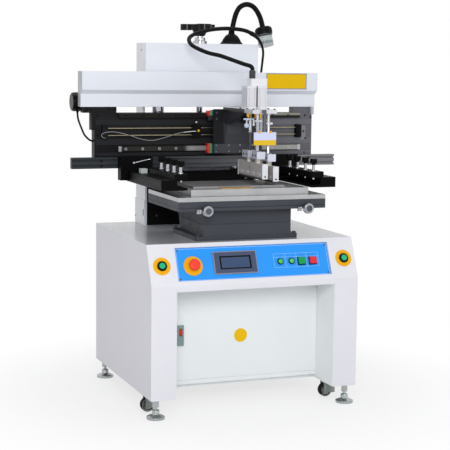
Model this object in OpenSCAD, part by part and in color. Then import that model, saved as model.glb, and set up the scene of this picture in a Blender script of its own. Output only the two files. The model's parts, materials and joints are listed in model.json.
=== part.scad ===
/* [Cabinet] */
// Width of the cabinet
cabinet_width = 850; // [800:1:950]
// Depth of the cabinet, front to back
cabinet_depth = 776; // [770:1:860]
// Height of the cabinet's underside above the floor
floor_gap = 76; // [74:1:90]
// Height of the cabinet's top plate above the floor
deck_height = 660; // [640:1:720]
// Height of the sloped fascia, measured straight up
slope_rise = 151; // [140:1:160]
// Distance the top edge of the sloped fascia stands back
slope_setback = 68; // [50:1:80]
// Width of each front leg
leg_width = 100; // [90:1:120]
// Depth of the knee recess between the front legs
recess_depth = 164; // [120:1:200]
// Height of the apron strip below the sloped fascia
apron_height = 23; // [15:1:40]

/* [Control panel] */
// Width of the blue control panel
panel_width = 632; // [620:1:660]
// Height of the blue control panel along the slope
panel_height = 131; // [125:1:135]
// Depth of the pocket that the panel is set into
panel_pocket = 11; // [8:1:14]
// Thickness of the panel sheet
panel_sheet = 3; // [2:0.5:4]
// Width of the touch screen's bezel
screen_width = 177; // [150:1:190]
// Height of the touch screen's bezel along the slope
screen_height = 89; // [80:1:95]
// Side of the square push buttons
square_button = 27; // [22:1:28]
// Diameter of the emergency stop's mushroom head
stop_head = 44; // [36:1:50]
// Travel of every push button
button_travel = 4; // [2:0.5:5]

/* [Column and lift] */
// Width of the rear column
column_width = 500; // [490:1:520]
// Depth of the rear column, front to back
column_depth = 134; // [130:1:136]
// Height of the column above the cabinet's top plate
column_height = 758; // [750:1:800]
// Height of the white box that closes the column's top
top_box_height = 182; // [170:1:190]
// Diameter of the two guide posts
post_diameter = 50; // [40:1:54]
// Distance of each guide post from the middle
post_offset = 175; // [165:1:180]
// Diameter of the central stop screw
screw_diameter = 27; // [20:1:30]
// Diameter of the handwheel over its lobes
handwheel_diameter = 168; // [120:1:170]

/* [Print head] */
// Height of the cross beam's underside above the cabinet's top plate
beam_rise = 292; // [290:1:296]
// Length of the dark cross beam
beam_length = 966; // [960:1:1000]
// Height of the dark cross beam
beam_height = 180; // [175:1:185]
// Depth of the dark cross beam, front to back
beam_depth = 44; // [36:1:44]
// Length of the white hood
hood_length = 1035; // [1020:1:1040]
// Depth of the white hood, front to back
hood_depth = 70; // [60:1:72]
// Height of the white hood
hood_height = 144; // [136:1:150]
// Length of the slotted clamp rail
slot_rail_length = 1164; // [1150:1:1200]
// Height of the slotted clamp rail
slot_rail_height = 45; // [40:1:45]
// Length of the two linear guide rails
guide_rail_length = 805; // [780:1:830]

/* [Squeegees] */
// Length of each squeegee holder, front to back
holder_length = 259; // [240:1:280]
// Thickness of each squeegee holder
holder_thickness = 22; // [18:1:24]
// Height of each squeegee holder
holder_height = 58; // [50:1:60]
// Distance between the two squeegees
squeegee_pitch = 46; // [46:1:50]
// Amount by which the left squeegee stands higher at rest
left_squeegee_up = 10; // [0:1:20]
// Diameter of the squeegee guide rods
guide_rod = 12; // [10:1:12]

/* [Stencil arms] */
// Length of each stencil clamping arm
arm_length = 457; // [430:1:460]
// Gap between an arm's inner face and the middle of the machine
arm_inner = 256; // [256:1:270]
// Width of an arm's clamping channel body
arm_body = 53; // [50:1:60]
// Width of an arm's outer ledge
arm_ledge = 52; // [40:1:56]
// Height of the gap that takes a stencil frame
frame_gap = 28; // [22:1:30]

/* [Table] */
// Width of the dark table box
table_width = 606; // [590:1:620]
// Depth of the dark table box, front to back
table_depth = 376; // [360:1:390]
// Width of the upper light plate
plate_width = 486; // [460:1:490]
// Diameter of the table's two adjusting knobs
knob_diameter = 39; // [34:1:44]

/* [Feet and casters] */
// Diameter of the levelling feet
foot_diameter = 70; // [60:1:72]
// Diameter of the caster wheels
wheel_diameter = 54; // [50:1:56]
// Width of the caster wheels
wheel_width = 26; // [22:1:28]

/* [Hidden] */
$fn = 64;
e = 0.01;
front = -cabinet_depth / 2;
deck = deck_height;
slope_foot = deck - slope_rise;
slope_angle = atan(slope_setback / slope_rise);
slope_length = sqrt(slope_rise * slope_rise + slope_setback * slope_setback);
panel_mid = slope_length / 2 + 1;
recess_top = slope_foot - apron_height;
recess_half = cabinet_width / 2 - leg_width;
panel_face = panel_sheet - panel_pocket;
run = 0.08;
near = 0.3;
screen_x = -78;
stop_x = -249;
square_x = [197, 245];
lamp_x = [109, 156];
start_x = 375;
breaker_x = -255.5;
breaker_z = recess_top - 187;
column_back = cabinet_depth;
column_front = column_back - column_depth;
column_top = deck + column_height;
top_box_floor = column_top - top_box_height;
column_half = column_width / 2;
side_sheet = 8;
bridge_half = column_half - side_sheet - 10;
cover_top = deck + 226;
post_y = column_front + 63;
screw_x = 9;
beam_back = column_front - 8;
beam_front = beam_back - beam_depth;
beam_left = -beam_length / 2;
beam_right = beam_length / 2;
beam_low = deck + beam_rise;
beam_top = beam_low + beam_height;
skirt_low = beam_low - 47;
hood_back = column_front - 9;
hood_front = hood_back - hood_depth;
hood_mid = -23;
hood_left = hood_mid - hood_length / 2;
hood_right = hood_mid + hood_length / 2;
hood_low = beam_top + 24;
clip_x = column_half + 14;
hood_top = hood_low + hood_height;
rail_front = column_front - 76;
rail_low = beam_low - slot_rail_height;
guide_low_z = beam_low + 33;
guide_top_z = beam_top - 11;
guide_x = 19;
rod_low_z = beam_low + 88;
rod_top_z = beam_low + 117;
rod_y_line = beam_front - 12;
sensor_rod = 5;
rod_left = -454;
rod_right = 402;
sensor_x = -50;
squeegee_x = 107;
carriage_x0 = squeegee_x - 93;
carriage_x1 = squeegee_x + 93;
carriage_front = beam_front - 50;
carriage_plate = 12;
left_x = squeegee_x - squeegee_pitch / 2;
right_x = squeegee_x + squeegee_pitch / 2;
mount_low = beam_top + 10;
mount_top = mount_low + 15;
cylinder_height = 91;
cylinder_top = mount_top + cylinder_height;
back_rod_y = carriage_front - 232;
front_rod_y = back_rod_y - 77;
holder_front = front_rod_y - 82;
cylinder_front = back_rod_y - 13;
cylinder_back = cylinder_front + 60;
cylinder_half = 19.5;
mount_front = front_rod_y - 20;
sign_x = right_x - 30;
sign_y = mount_front - 21;
sign_low = beam_low + 67;
hose_x = 95;
hose_y = cylinder_front + 26;
plate_top = deck + 200;
jig_top = plate_top + 6;
holder_low = jig_top + 13;
neck_height = 17;
clamp_half = 17.5;
clamp_height = 29;
tee_rise = 223;
arm_low = deck + 198;
lip_height = 10;
arm_top = deck + 260;
ledge_top = deck + 238;
arm_front = rail_front - 478;
arm_back = arm_front + arm_length;
arm_outer = arm_inner + arm_body + arm_ledge;
pin_x = arm_inner + 20;
lever_x = arm_inner + 8;
pin_diameter = 12;
pin_y = [for (i = [0 : 3]) arm_front + 24 + 78 * i];
table_front = arm_front - 33;
table_back = table_front + table_depth;
body_front = table_front + 57;
plate_front = table_front + 30;
casting_front = table_front + 55;
casting_depth = 287;
casting_half = 213;
stand_half = 182;
knob_x = [-193, 222];
table_low = deck + 121;
box_top = deck + 157;
tray_top = deck + 174;
knob_z = deck + 123;
foot_x = cabinet_width / 2 - 30;
foot_y = 36;
caster_x = 376;
caster_y = 132;
caster_trail = 22;
caster_lift = 5;
wheel_z = wheel_diameter / 2 + caster_lift;
motor_diameter = 76;
motor_y = hood_back + motor_diameter / 2 + near;
motor_z = hood_low + 18;
motor_left = beam_left - 72;
lamp_base_x = 152;
lamp_y = post_y - 9;

// Box between limits: across, behind the cabinet's front, above the floor
module block(x0, x1, y0, y1, z0, z1) {
    translate([x0, front + y0, z0])
        cube([x1 - x0, y1 - y0, z1 - z0]);
}

// Flat plate with rounded corners, centred, its underside at zero
module rounded_plate(w, d, r, h) {
    linear_extrude(height = h) {
        square([w, d - 2 * r], center = true);
        square([w - 2 * r, d], center = true);
        for (x = [r - w / 2, w / 2 - r], y = [r - d / 2, d / 2 - r])
            translate([x, y])
                circle(r = r);
    }
}

// Upright round bar
module post(x, y, z0, z1, d) {
    translate([x, front + y, z0])
        cylinder(h = z1 - z0, d = d);
}

// Round bar lying across the machine
module bar_x(x0, x1, y, z, d) {
    translate([x0, front + y, z])
        rotate([0, 90, 0])
            cylinder(h = x1 - x0, d = d);
}

// Round bar lying front to back
module bar_y(x, y0, y1, z, d) {
    translate([x, front + y0, z])
        rotate([-90, 0, 0])
            cylinder(h = y1 - y0, d = d);
}

// Side outline, given as distance behind the front and height, drawn across the machine
module profile_x(x0, x1, points) {
    translate([x0, front, 0])
        rotate([90, 0, 90])
            linear_extrude(height = x1 - x0)
                polygon(points);
}

// Places children on the sloped fascia: across, up the slope, out of it
module on_slope(x, s) {
    translate([x, front, slope_foot])
        rotate([90 - slope_angle, 0, 0])
            translate([0, s, 0])
                children();
}

// Unit vector
function unit(v) = v / norm(v);

// Point on the smooth curve through the route points, t counts points
function curve_at(p, t) =
    let (n = len(p) - 1)
    let (i = min(floor(t), n - 1))
    let (u = t - i)
    let (a = p[max(i - 1, 0)])
    let (b = p[i])
    let (c = p[i + 1])
    let (d = p[min(i + 2, n)])
    0.5 * (2 * b + (c - a) * u + (2 * a - 5 * b + 4 * c - d) * u * u
        + (3 * b - a - 3 * c + d) * u * u * u);

// Flexible tube swept along its route as one mesh; each route point is [x, y, z, diameter]
module tube(route, steps, sides, up) {
    count = (len(route) - 1) * steps;
    pts = [for (i = [0 : count]) curve_at(route, i / steps)];
    mid = [for (p = pts) [p[0], front + p[1], p[2]]];
    rings = [for (i = [0 : count])
        let (t = unit(mid[min(i + 1, count)] - mid[max(i - 1, 0)]))
        let (n = unit(cross(t, up)))
        let (b = cross(n, t))
        [for (k = [0 : sides - 1])
            mid[i] + pts[i][3] / 2 * (cos(360 * k / sides) * n + sin(360 * k / sides) * b)]];
    corners = [for (r = rings) each r];
    walls = [for (i = [0 : count - 1], k = [0 : sides - 1])
        [i * sides + k, i * sides + (k + 1) % sides,
            (i + 1) * sides + (k + 1) % sides, (i + 1) * sides + k]];
    low = [for (k = [0 : sides - 1]) sides - 1 - k];
    high = [for (k = [0 : sides - 1]) count * sides + k];
    polyhedron(points = corners, faces = concat(walls, [low, high]));
}

module cabinet() {
    color("gainsboro")
        difference() {
            profile_x(-cabinet_width / 2, cabinet_width / 2,
                [[0, floor_gap], [cabinet_depth, floor_gap], [cabinet_depth, deck],
                    [slope_setback, deck], [0, slope_foot]]);
            block(-recess_half, recess_half, -1, recess_depth, floor_gap - 1, recess_top);
            block(-recess_half, recess_half, recess_depth - 1, recess_depth + 14,
                floor_gap - 1, floor_gap + 14);
            on_slope(0, panel_mid)
                translate([-panel_width / 2, -panel_height / 2, -panel_pocket])
                    cube([panel_width, panel_height, 60]);
            on_slope(stop_x, panel_mid - 6)
                translate([0, 0, -panel_pocket - 40])
                    cylinder(h = 60, d = 23);
            for (x = square_x)
                on_slope(x, panel_mid - 6)
                    translate([0, 0, -panel_pocket - 40])
                        cylinder(h = 60, d = 19);
            for (x = [-start_x, start_x])
                on_slope(x, panel_mid - 4)
                    translate([0, 0, -30])
                        cylinder(h = 60, d = 24);
            for (x = [-foot_x, foot_x], y = [foot_y, cabinet_depth - foot_y])
                post(x, y, floor_gap - 1, floor_gap + 30, 12);
            for (x = [-caster_x, caster_x])
                post(x, caster_y, floor_gap - 1, floor_gap + 24, 14.2);
        }
}

module recess_panel() {
    color("silver") {
        block(-recess_half + 3, recess_half - 3, recess_depth - 2, recess_depth,
            floor_gap + 32, recess_top - 4);
        block(-recess_half + 3, recess_half - 3, recess_depth - 2, recess_depth,
            floor_gap + 14, floor_gap + 30);
        difference() {
            block(breaker_x - 12.5, breaker_x + 12.5, recess_depth - 9, recess_depth - 2,
                breaker_z - 53, breaker_z + 27);
            block(breaker_x - 6.5, breaker_x + 6.5, recess_depth - 10, recess_depth - 3,
                breaker_z - 15, breaker_z + 15);
            bar_x(breaker_x - 9, breaker_x + 9, recess_depth - 6, breaker_z, 3 + 2 * run);
        }
        bar_y(-4, recess_depth - 3.5, recess_depth - 2, breaker_z - 27, 54);
    }
}

module control_panel() {
    color("dodgerblue")
        on_slope(0, panel_mid)
            difference() {
                translate([-panel_width / 2 + 0.5, -panel_height / 2 + 0.5, -panel_pocket])
                    cube([panel_width - 1, panel_height - 1, panel_sheet]);
                translate([stop_x, -6, -panel_pocket - 1])
                    cylinder(h = 20, d = 23);
                for (x = square_x)
                    translate([x, -6, -panel_pocket - 1])
                        cylinder(h = 20, d = 19);
            }
}

module fixings() {
    color("silver") {
        for (x = [-1, 1], s = [-1, 1])
            on_slope(x * (panel_width / 2 - 10), panel_mid + s * (panel_height / 2 - 10))
                translate([0, 0, panel_face])
                    cylinder(h = 2.4, d = 7);
        for (x = knob_x)
            difference() {
                block(x - 38, x - 21, table_front - 8, table_front, knob_z - 11, knob_z + 5);
                bar_y(x - 30, table_front - 9, table_front - 4, knob_z - 3, 6);
            }
        for (x = [12 - casting_half, casting_half - 12],
                y = [casting_front + 12, casting_front + casting_depth - 12])
            post(x, y, deck + 17, deck + 25, 14);
    }
}

module screen_bezel() {
    color("gray")
        on_slope(screen_x, panel_mid)
            translate([-screen_width / 2, -screen_height / 2, panel_face])
                difference() {
                    cube([screen_width, screen_height, 6]);
                    translate([22, 14, 4])
                        cube([screen_width - 44, screen_height - 28, 10]);
                }
}

module screen_glass() {
    color("black")
        on_slope(screen_x, panel_mid)
            translate([22.2 - screen_width / 2, 14.2 - screen_height / 2, panel_face + 4])
                cube([screen_width - 44.4, screen_height - 28.4, 1]);
}

module button_rings() {
    color("black") {
        for (x = lamp_x)
            on_slope(x, panel_mid - 4)
                translate([0, 0, panel_face])
                    cylinder(h = 4, d = 26);
        for (x = [-start_x, start_x])
            on_slope(x, panel_mid - 4)
                translate([0, 0, 2])
                    difference() {
                        cylinder(h = 5, d = 38);
                        translate([0, 0, -1])
                            cylinder(h = 20, d = 24);
                    }
    }
}

module yellow_rings() {
    color("gold") {
        on_slope(stop_x, panel_mid - 6)
            translate([0, 0, panel_face])
                difference() {
                    cylinder(h = 2, d = 76);
                    translate([0, 0, -1])
                        cylinder(h = 20, d = 23);
                }
        for (x = [-start_x, start_x])
            on_slope(x, panel_mid - 4)
                difference() {
                    cylinder(h = 2, d = 68);
                    translate([0, 0, -1])
                        cylinder(h = 20, d = 24);
                }
    }
}

module panel_lamps() {
    color("limegreen")
        for (x = lamp_x)
            on_slope(x, panel_mid - 4)
                translate([0, 0, panel_face + 4]) {
                    cylinder(h = 2, d = 19);
                    translate([0, 0, 2])
                        intersection() {
                            translate([0, 0, -6])
                                sphere(d = 22);
                            cylinder(h = 10, d = 19);
                        }
                }
}

module stop_button() {
    color("tomato")
        on_slope(stop_x, panel_mid - 6)
            translate([0, 0, panel_face]) {
                translate([0, 0, -24])
                    cylinder(h = 44, d = 23 - 2 * near);
                translate([0, 0, button_travel + 10])
                    rotate_extrude()
                        polygon(concat([[0, 0], [stop_head / 2 - 4, 0], [stop_head / 2, 5]],
                            [for (a = [0 : 15 : 90])
                                [stop_head / 2 - 9 + 9 * cos(a), 7 + 7 * sin(a)]], [[0, 14]]));
            }
}

// Round push button with a bevelled face, sliding in its ring
module round_push(x) {
    on_slope(x, panel_mid - 4)
        translate([0, 0, -20])
            rotate_extrude()
                polygon([[0, 0], [12 - near, 0], [12 - near, 26 + button_travel],
                    [10 - near, 28 + button_travel], [0, 28 + button_travel]]);
}

module start_button_left() {
    color("mediumseagreen")
        round_push(-start_x);
}

module start_button_right() {
    color("mediumseagreen")
        round_push(start_x);
}

// Square head on a round shank that slides in the panel
module square_push(x) {
    on_slope(x, panel_mid - 6)
        translate([0, 0, panel_face]) {
            translate([0, 0, -24])
                cylinder(h = 30, d = 19 - 2 * near);
            translate([-square_button / 2, -square_button / 2, button_travel + 1])
                cube([square_button, square_button, 7]);
        }
}

module green_button() {
    color("green")
        square_push(square_x[0]);
}

module red_button() {
    color("red")
        square_push(square_x[1]);
}

module breaker_rocker() {
    color("red") {
        intersection() {
            bar_x(breaker_x - 4.5, breaker_x + 4.5, recess_depth + 6, breaker_z, 36);
            block(breaker_x - 9, breaker_x + 9, recess_depth - 20, recess_depth - 6,
                breaker_z - 13, breaker_z + 13);
        }
        bar_x(breaker_x - 8.5, breaker_x + 8.5, recess_depth - 6, breaker_z, 3);
    }
}

module levelling_feet() {
    color("silver")
        for (x = [-foot_x, foot_x], y = [foot_y, cabinet_depth - foot_y]) {
            translate([x, front + y, 0])
                rotate_extrude()
                    polygon([[0, 0], [foot_diameter / 2, 0], [foot_diameter / 2, 9],
                        [foot_diameter / 2 - 8, 13], [14, 18], [14, 34], [6, 36], [6, 60],
                        [0, 60]]);
            translate([x, front + y, 44])
                cylinder(h = floor_gap - 44, d = 27, $fn = 6);
            post(x, y, 58, floor_gap + 28, 12);
        }
}

// One swivel fork, hung under the cabinet at its pin
module fork(x, y) {
    translate([x, front + y, 0]) {
        translate([0, 0, floor_gap - near - 4])
            cylinder(h = 4, d = 44);
        translate([0, 0, floor_gap - 1])
            cylinder(h = 22, d = 14);
        difference() {
            translate([-caster_trail - 12, -wheel_width / 2 - 6, wheel_z - 10])
                cube([caster_trail + 26, wheel_width + 12, floor_gap - near - 4 - wheel_z + 10]);
            translate([-caster_trail - 40, -wheel_width / 2 - 1.5, 0])
                cube([120, wheel_width + 3, wheel_z + wheel_diameter / 2 + 3]);
            translate([-caster_trail, 0, wheel_z])
                rotate([90, 0, 0])
                    cylinder(h = 80, d = 8, center = true);
        }
    }
}

// One caster wheel with its axle
module wheel(x, y) {
    translate([x - caster_trail, front + y, wheel_z])
        rotate([90, 0, 0]) {
            rotate_extrude()
                polygon([[0, -wheel_width / 2], [9, -wheel_width / 2], [9, 3 - wheel_width / 2],
                    [wheel_diameter / 2 - 8, 3 - wheel_width / 2],
                    [wheel_diameter / 2 - 6, -wheel_width / 2],
                    [wheel_diameter / 2 - 2, -wheel_width / 2],
                    [wheel_diameter / 2, 3 - wheel_width / 2],
                    [wheel_diameter / 2, wheel_width / 2 - 3],
                    [wheel_diameter / 2 - 2, wheel_width / 2],
                    [wheel_diameter / 2 - 6, wheel_width / 2],
                    [wheel_diameter / 2 - 8, wheel_width / 2 - 3],
                    [9, wheel_width / 2 - 3], [9, wheel_width / 2], [0, wheel_width / 2]]);
            cylinder(h = wheel_width + 12, d = 8 - 2 * run, center = true);
        }
}

module caster_fork_left() {
    color("darkgray")
        fork(-caster_x, caster_y);
}

module caster_fork_right() {
    color("darkgray")
        fork(caster_x, caster_y);
}

module caster_wheel_left() {
    color("black")
        wheel(-caster_x, caster_y);
}

module caster_wheel_right() {
    color("black")
        wheel(caster_x, caster_y);
}

module column() {
    color("whitesmoke") {
        for (side = [-1, 1])
            mirror([side > 0 ? 1 : 0, 0, 0]) {
                profile_x(-column_half, -column_half + side_sheet,
                    [[column_front, deck], [column_back - 3, deck], [column_back - 3, column_top],
                        [column_front, column_top], [column_front, top_box_floor],
                        [column_front + 34, top_box_floor], [column_front + 34, cover_top + 4],
                        [column_front, cover_top + 4]]);
                block(-column_half - 4, -column_half + e, column_front - 2, column_back - 3,
                    deck, deck + 106);
            }
        difference() {
            block(-column_half + 1, column_half - 1, column_front, column_back - 3,
                top_box_floor, column_top);
            for (x = [-post_offset, post_offset])
                post(x, post_y, top_box_floor - 1, top_box_floor + 30, post_diameter);
            post(screw_x, post_y, top_box_floor - 1, column_top + 1, screw_diameter + 2 * run);
        }
        block(-column_half + 1, column_half - 1, column_back - 6, column_back - 3,
            deck, cover_top + 60);
    }
}

module column_cover() {
    color("black") {
        difference() {
            block(-column_half + side_sheet, column_half - side_sheet, column_front + 8,
                column_back - 6, deck, deck + 25);
            for (x = [-post_offset, post_offset])
                post(x, post_y, deck + 5, deck + 30, post_diameter);
        }
        block(-column_half + side_sheet, column_half - side_sheet, column_front,
            column_front + 8 + e, deck, cover_top);
    }
}

module guide_posts() {
    color("silver")
        for (x = [-post_offset, post_offset])
            post(x, post_y, deck + 5, top_box_floor + 30, post_diameter);
}

module stop_screw() {
    color("lightsteelblue") {
        post(screw_x, post_y, beam_low - 20, column_top + 46, screw_diameter);
        post(screw_x, post_y, column_top + near, column_top + 12, 60);
        post(screw_x, post_y, column_top + 11, column_top + 26, 46);
    }
}

module handwheel() {
    color("black")
        translate([screw_x, front + post_y, column_top])
            difference() {
                union() {
                    rotate_extrude()
                        polygon([[0, 32], [20, 32], [33, 56], [46, 56.5], [46, 81.5], [0, 81.5]]);
                    translate([0, 0, 56])
                        linear_extrude(height = 26)
                            for (a = [30, 150, 270])
                                rotate([0, 0, a])
                                    translate([handwheel_diameter / 2 - 28, 0])
                                        circle(d = 56);
                }
                translate([0, 0, 30])
                    cylinder(h = 16, d = screw_diameter);
            }
}

module lamp_stand() {
    color("black") {
        translate([lamp_base_x, front + post_y, column_top])
            rotate_extrude()
                polygon([[0, 0], [48, 0], [48, 4], [42, 10], [36, 22], [26, 36], [14, 44],
                    [11, 60], [0, 60]]);
        tube([[lamp_base_x, lamp_y + 4, column_top + 52, 22],
            [lamp_base_x + 4, lamp_y + 4, column_top + 78, 22],
            [lamp_base_x + 17, lamp_y + 4, column_top + 128, 22],
            [lamp_base_x + 36, lamp_y + 4, column_top + 158, 22],
            [lamp_base_x + 67, lamp_y + 4, column_top + 170, 22],
            [lamp_base_x + 100, lamp_y + 4, column_top + 158, 22],
            [lamp_base_x + 127, lamp_y + 2, column_top + 118, 22],
            [lamp_base_x + 140, lamp_y, column_top + 70, 22]],
            4, 12, [0, 1, 0]);
    }
}

// Axis of the lamp head, tilted a little out of the upright
module on_lamp() {
    translate([lamp_base_x + 141, front + lamp_y, column_top + 74])
        rotate([-14, -6, 0])
            children();
}

module lamp_head() {
    color("black")
        on_lamp()
            translate([0, 0, -34])
                difference() {
                    union() {
                        cylinder(h = 28, d = 72);
                        translate([0, 0, 28])
                            cylinder(h = 6, d1 = 72, d2 = 58);
                    }
                    translate([0, 0, -1])
                        cylinder(h = 19, d = 62);
                }
}

module lamp_lens() {
    color("lightcyan")
        on_lamp()
            translate([0, 0, -82]) {
                cylinder(h = 48, d = 66);
                cylinder(h = 66, d = 62);
            }
}

module table_stand() {
    color("dimgray") {
        translate([0, front + casting_front + casting_depth / 2, deck])
            rounded_plate(2 * casting_half, casting_depth, 14, 17);
        difference() {
            profile_x(-stand_half, stand_half, [[body_front, deck + 16],
                [table_back - 46, deck + 16], [table_back - 1, table_low],
                [table_back - 1, table_low + 2], [body_front, table_low + 2]]);
            for (x = [-stand_half - 1, stand_half - 1.5])
                block(x, x + 2.5, body_front - 1, table_back, deck + 62, deck + 64);
            block(-stand_half - 1, stand_half + 1, body_front - 1, body_front + 1.5,
                deck + 62, deck + 64);
        }
        difference() {
            block(-table_width / 2, table_width / 2, table_front, table_back,
                table_low, box_top);
            for (x = knob_x)
                bar_y(x, table_front - 1, table_front + 40, knob_z, 10);
        }
    }
}

module table_tray() {
    color("lightgray")
        block(-table_width / 2, table_width / 2, table_front, table_back, box_top, tray_top);
}

module work_plate() {
    color("gainsboro") {
        block(-plate_width / 2, plate_width / 2, plate_front, plate_front + 315,
            tray_top, plate_top);
        block(-215, 165, plate_front + 55, plate_front + 295, plate_top - e, jig_top);
        block(-110, 17, plate_front + 19, plate_front + 49, plate_top - e, plate_top + 3);
    }
}

// Knurled knob with a spindle that turns in the table box
module table_knob(x) {
    difference() {
        union() {
            bar_y(x, table_front - 28, table_front - 8, knob_z, knob_diameter);
            bar_y(x, table_front - 30, table_front - 27, knob_z, knob_diameter - 5);
        }
        bar_y(x, table_front - 31, table_front - 26, knob_z, knob_diameter - 15);
    }
    bar_y(x, table_front - 9, table_front + 30, knob_z, 10 - 2 * run);
}

module knob_left() {
    color("silver")
        table_knob(knob_x[0]);
}

module knob_right() {
    color("silver")
        table_knob(knob_x[1]);
}

module beam() {
    color([0.2, 0.2, 0.22]) {
        block(beam_left, beam_right, beam_front, beam_back, beam_low, beam_top);
        block(beam_left, beam_right, rail_front + 30, beam_back - 4, skirt_low, beam_low + e);
        block(beam_left - 47, beam_left + 94, beam_front + 2, beam_back - 2,
            beam_top - e, hood_low);
        block(beam_right - 90, beam_right - 9, beam_front + 2, beam_back - 2,
            beam_top - e, hood_low);
        block(beam_left - 11, beam_left + e, beam_front + 2, beam_back - 2,
            beam_low + 110, hood_low);
        for (x = [rod_left, rod_right - e])
            block(x, x + 24, rod_y_line - 10, beam_front + e, rod_low_z - 12, rod_top_z + 12);
        block(beam_left - 11, beam_left + 13, beam_back - e, motor_y + 40,
            hood_low - 20, motor_z + 42);
        block(beam_left - 11, beam_left + 13, beam_front + 10, beam_back,
            hood_low - 20, hood_low);
    }
}

module lift_bridge() {
    color("silver")
        difference() {
            union() {
                block(-bridge_half, bridge_half, beam_back, beam_back + 24, beam_low + 4,
                    beam_top - 26);
                for (x = [-post_offset, post_offset])
                    block(x - 46, x + 46, beam_back + 23, post_y + 46, beam_low + 8,
                        beam_top - 32);
            }
            for (x = [-post_offset, post_offset])
                post(x, post_y, beam_low, beam_top, post_diameter + 2 * run);
        }
}

module hood() {
    color("whitesmoke") {
        block(clip_x - 7, clip_x + 7, hood_back - e, hood_back + 17, hood_top - 44,
            hood_top - 34);
        profile_x(hood_left, hood_right,
            [[hood_front, hood_top], [hood_front, hood_low + 69], [hood_front + 26, hood_low + 53],
                [hood_front + 26, hood_low], [hood_back, hood_low], [hood_back, hood_top]]);
    }
}

module hood_label() {
    color("gold")
        block(hood_right - 235, hood_right - 54, hood_front - 1, hood_front,
            hood_top - 68, hood_top - 3);
}

module head_rails() {
    color("silver") {
        for (z = [guide_low_z, guide_top_z])
            block(guide_x - guide_rail_length / 2, guide_x + guide_rail_length / 2,
                beam_front - 16, beam_front, z - 10, z + 10);
        for (z = [rod_low_z, rod_top_z])
            bar_x(rod_left + 24, rod_right, rod_y_line, z, sensor_rod);
    }
}

module slot_rail() {
    color("gray")
        difference() {
            block(-slot_rail_length / 2, slot_rail_length / 2, rail_front, rail_front + 30,
                rail_low, rail_low + slot_rail_height);
            for (z = [rail_low + 12, rail_low + 33]) {
                block(-slot_rail_length, slot_rail_length, rail_front - 1, rail_front + 5,
                    z - 4, z + 4);
                block(-slot_rail_length, slot_rail_length, rail_front + 2, rail_front + 8,
                    z - 7, z + 7);
            }
        }
}

module sensor_block() {
    color("black")
        difference() {
            union() {
                block(sensor_x - 17, sensor_x + 17, rod_y_line - 14, rod_y_line + 9,
                    rod_low_z - 10, rod_top_z + 12);
                post(sensor_x, rod_y_line - 3, rod_top_z + 11, rod_top_z + 24, 9);
            }
            for (z = [rod_low_z, rod_top_z])
                bar_x(sensor_x - 20, sensor_x + 20, rod_y_line, z, sensor_rod + 2 * run);
        }
}

module drive_motor() {
    color("black") {
        bar_x(motor_left, beam_left - 11, motor_y, motor_z, motor_diameter);
        bar_x(motor_left - 3, motor_left + e, motor_y, motor_z, motor_diameter - 8);
    }
}

module motor_cable() {
    color("black")
        tube([[motor_left + 23, motor_y, hood_low - 16, 8],
            [motor_left + 22, motor_y - 2, hood_low - 26, 8],
            [motor_left + 21, motor_y - 21, hood_low - 54, 8],
            [motor_left + 30, beam_back, hood_low - 88, 8],
            [beam_left - 33, beam_front + 32, hood_low - 114, 8],
            [beam_left - 17, beam_front + 26, hood_low - 132, 8],
            [beam_left - 7, beam_front + 24, hood_low - 138, 8],
            [beam_left + 1, beam_front + 24, hood_low - 139, 8]],
            4, 10, [0, 1, 0]);
}

module sensor_cable() {
    color("gray")
        tube([[rod_left + 14, beam_front - 21, beam_low + 80, 3],
            [rod_left + 8, beam_front - 25, beam_low + 79, 3],
            [rod_left - 2, beam_front - 28, beam_low + 82, 3],
            [rod_left - 7, beam_front - 29, beam_low + 92, 3],
            [rod_left + 6, beam_front - 29, beam_low + 101, 3],
            [rod_left + 36, beam_front - 29, beam_low + 104, 3],
            [rod_left + 65, beam_front - 29, beam_low + 101, 3],
            [sensor_x - 288, beam_front - 29, beam_low + 88, 3],
            [sensor_x - 241, beam_front - 29, beam_low + 73, 3],
            [sensor_x - 194, beam_front - 29, beam_low + 68, 3],
            [sensor_x - 138, beam_front - 29, beam_low + 80, 3],
            [sensor_x - 81, beam_front - 30, beam_low + 97, 3],
            [sensor_x - 30, beam_front - 31, beam_low + 103, 3],
            [sensor_x - 13, beam_front - 32, beam_low + 104, 3],
            [sensor_x - 7, beam_front - 30, beam_low + 104, 3],
            [sensor_x - 6, rod_y_line - 14 - near, beam_low + 104, 3]],
            5, 8, [0, 0, 1]);
}

// Guide block that saddles a rail on the beam
module guide_block(x0, x1, z) {
    difference() {
        block(x0, x1, carriage_front + carriage_plate - e, beam_front - 5, z - 22, z + 22);
        block(x0 - 1, x1 + 1, beam_front - 16 - near, beam_front + 1, z - 10 - near,
            z + 10 + near);
    }
}

module carriage() {
    color([0.25, 0.25, 0.27])
        difference() {
            union() {
                block(carriage_x0, carriage_x1, carriage_front, carriage_front + carriage_plate,
                    beam_low + 11, beam_top + 16);
                for (z = [guide_low_z, guide_top_z], x = [carriage_x0, carriage_x1 - 80])
                    guide_block(x, x + 80, z);
                for (x = [left_x - 22, right_x + 8])
                    profile_x(x, x + 14, [[cylinder_back, mount_low], [cylinder_back, mount_low - 8],
                        [carriage_front - 60, mount_low - 50], [carriage_front + e, mount_low - 50],
                        [carriage_front + e, mount_low]]);
                block(left_x - 29, right_x + 29, mount_front, carriage_front + e,
                    mount_low, mount_top);
            }
            for (x = [left_x, right_x], y = [front_rod_y, back_rod_y])
                post(x, y, mount_low - 1, mount_top + 1, guide_rod + 2 * run);
            block(carriage_x0 + 36, carriage_x0 + 58, carriage_front - 1, carriage_front + 6,
                beam_low + 96, beam_top);
        }
}

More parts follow.
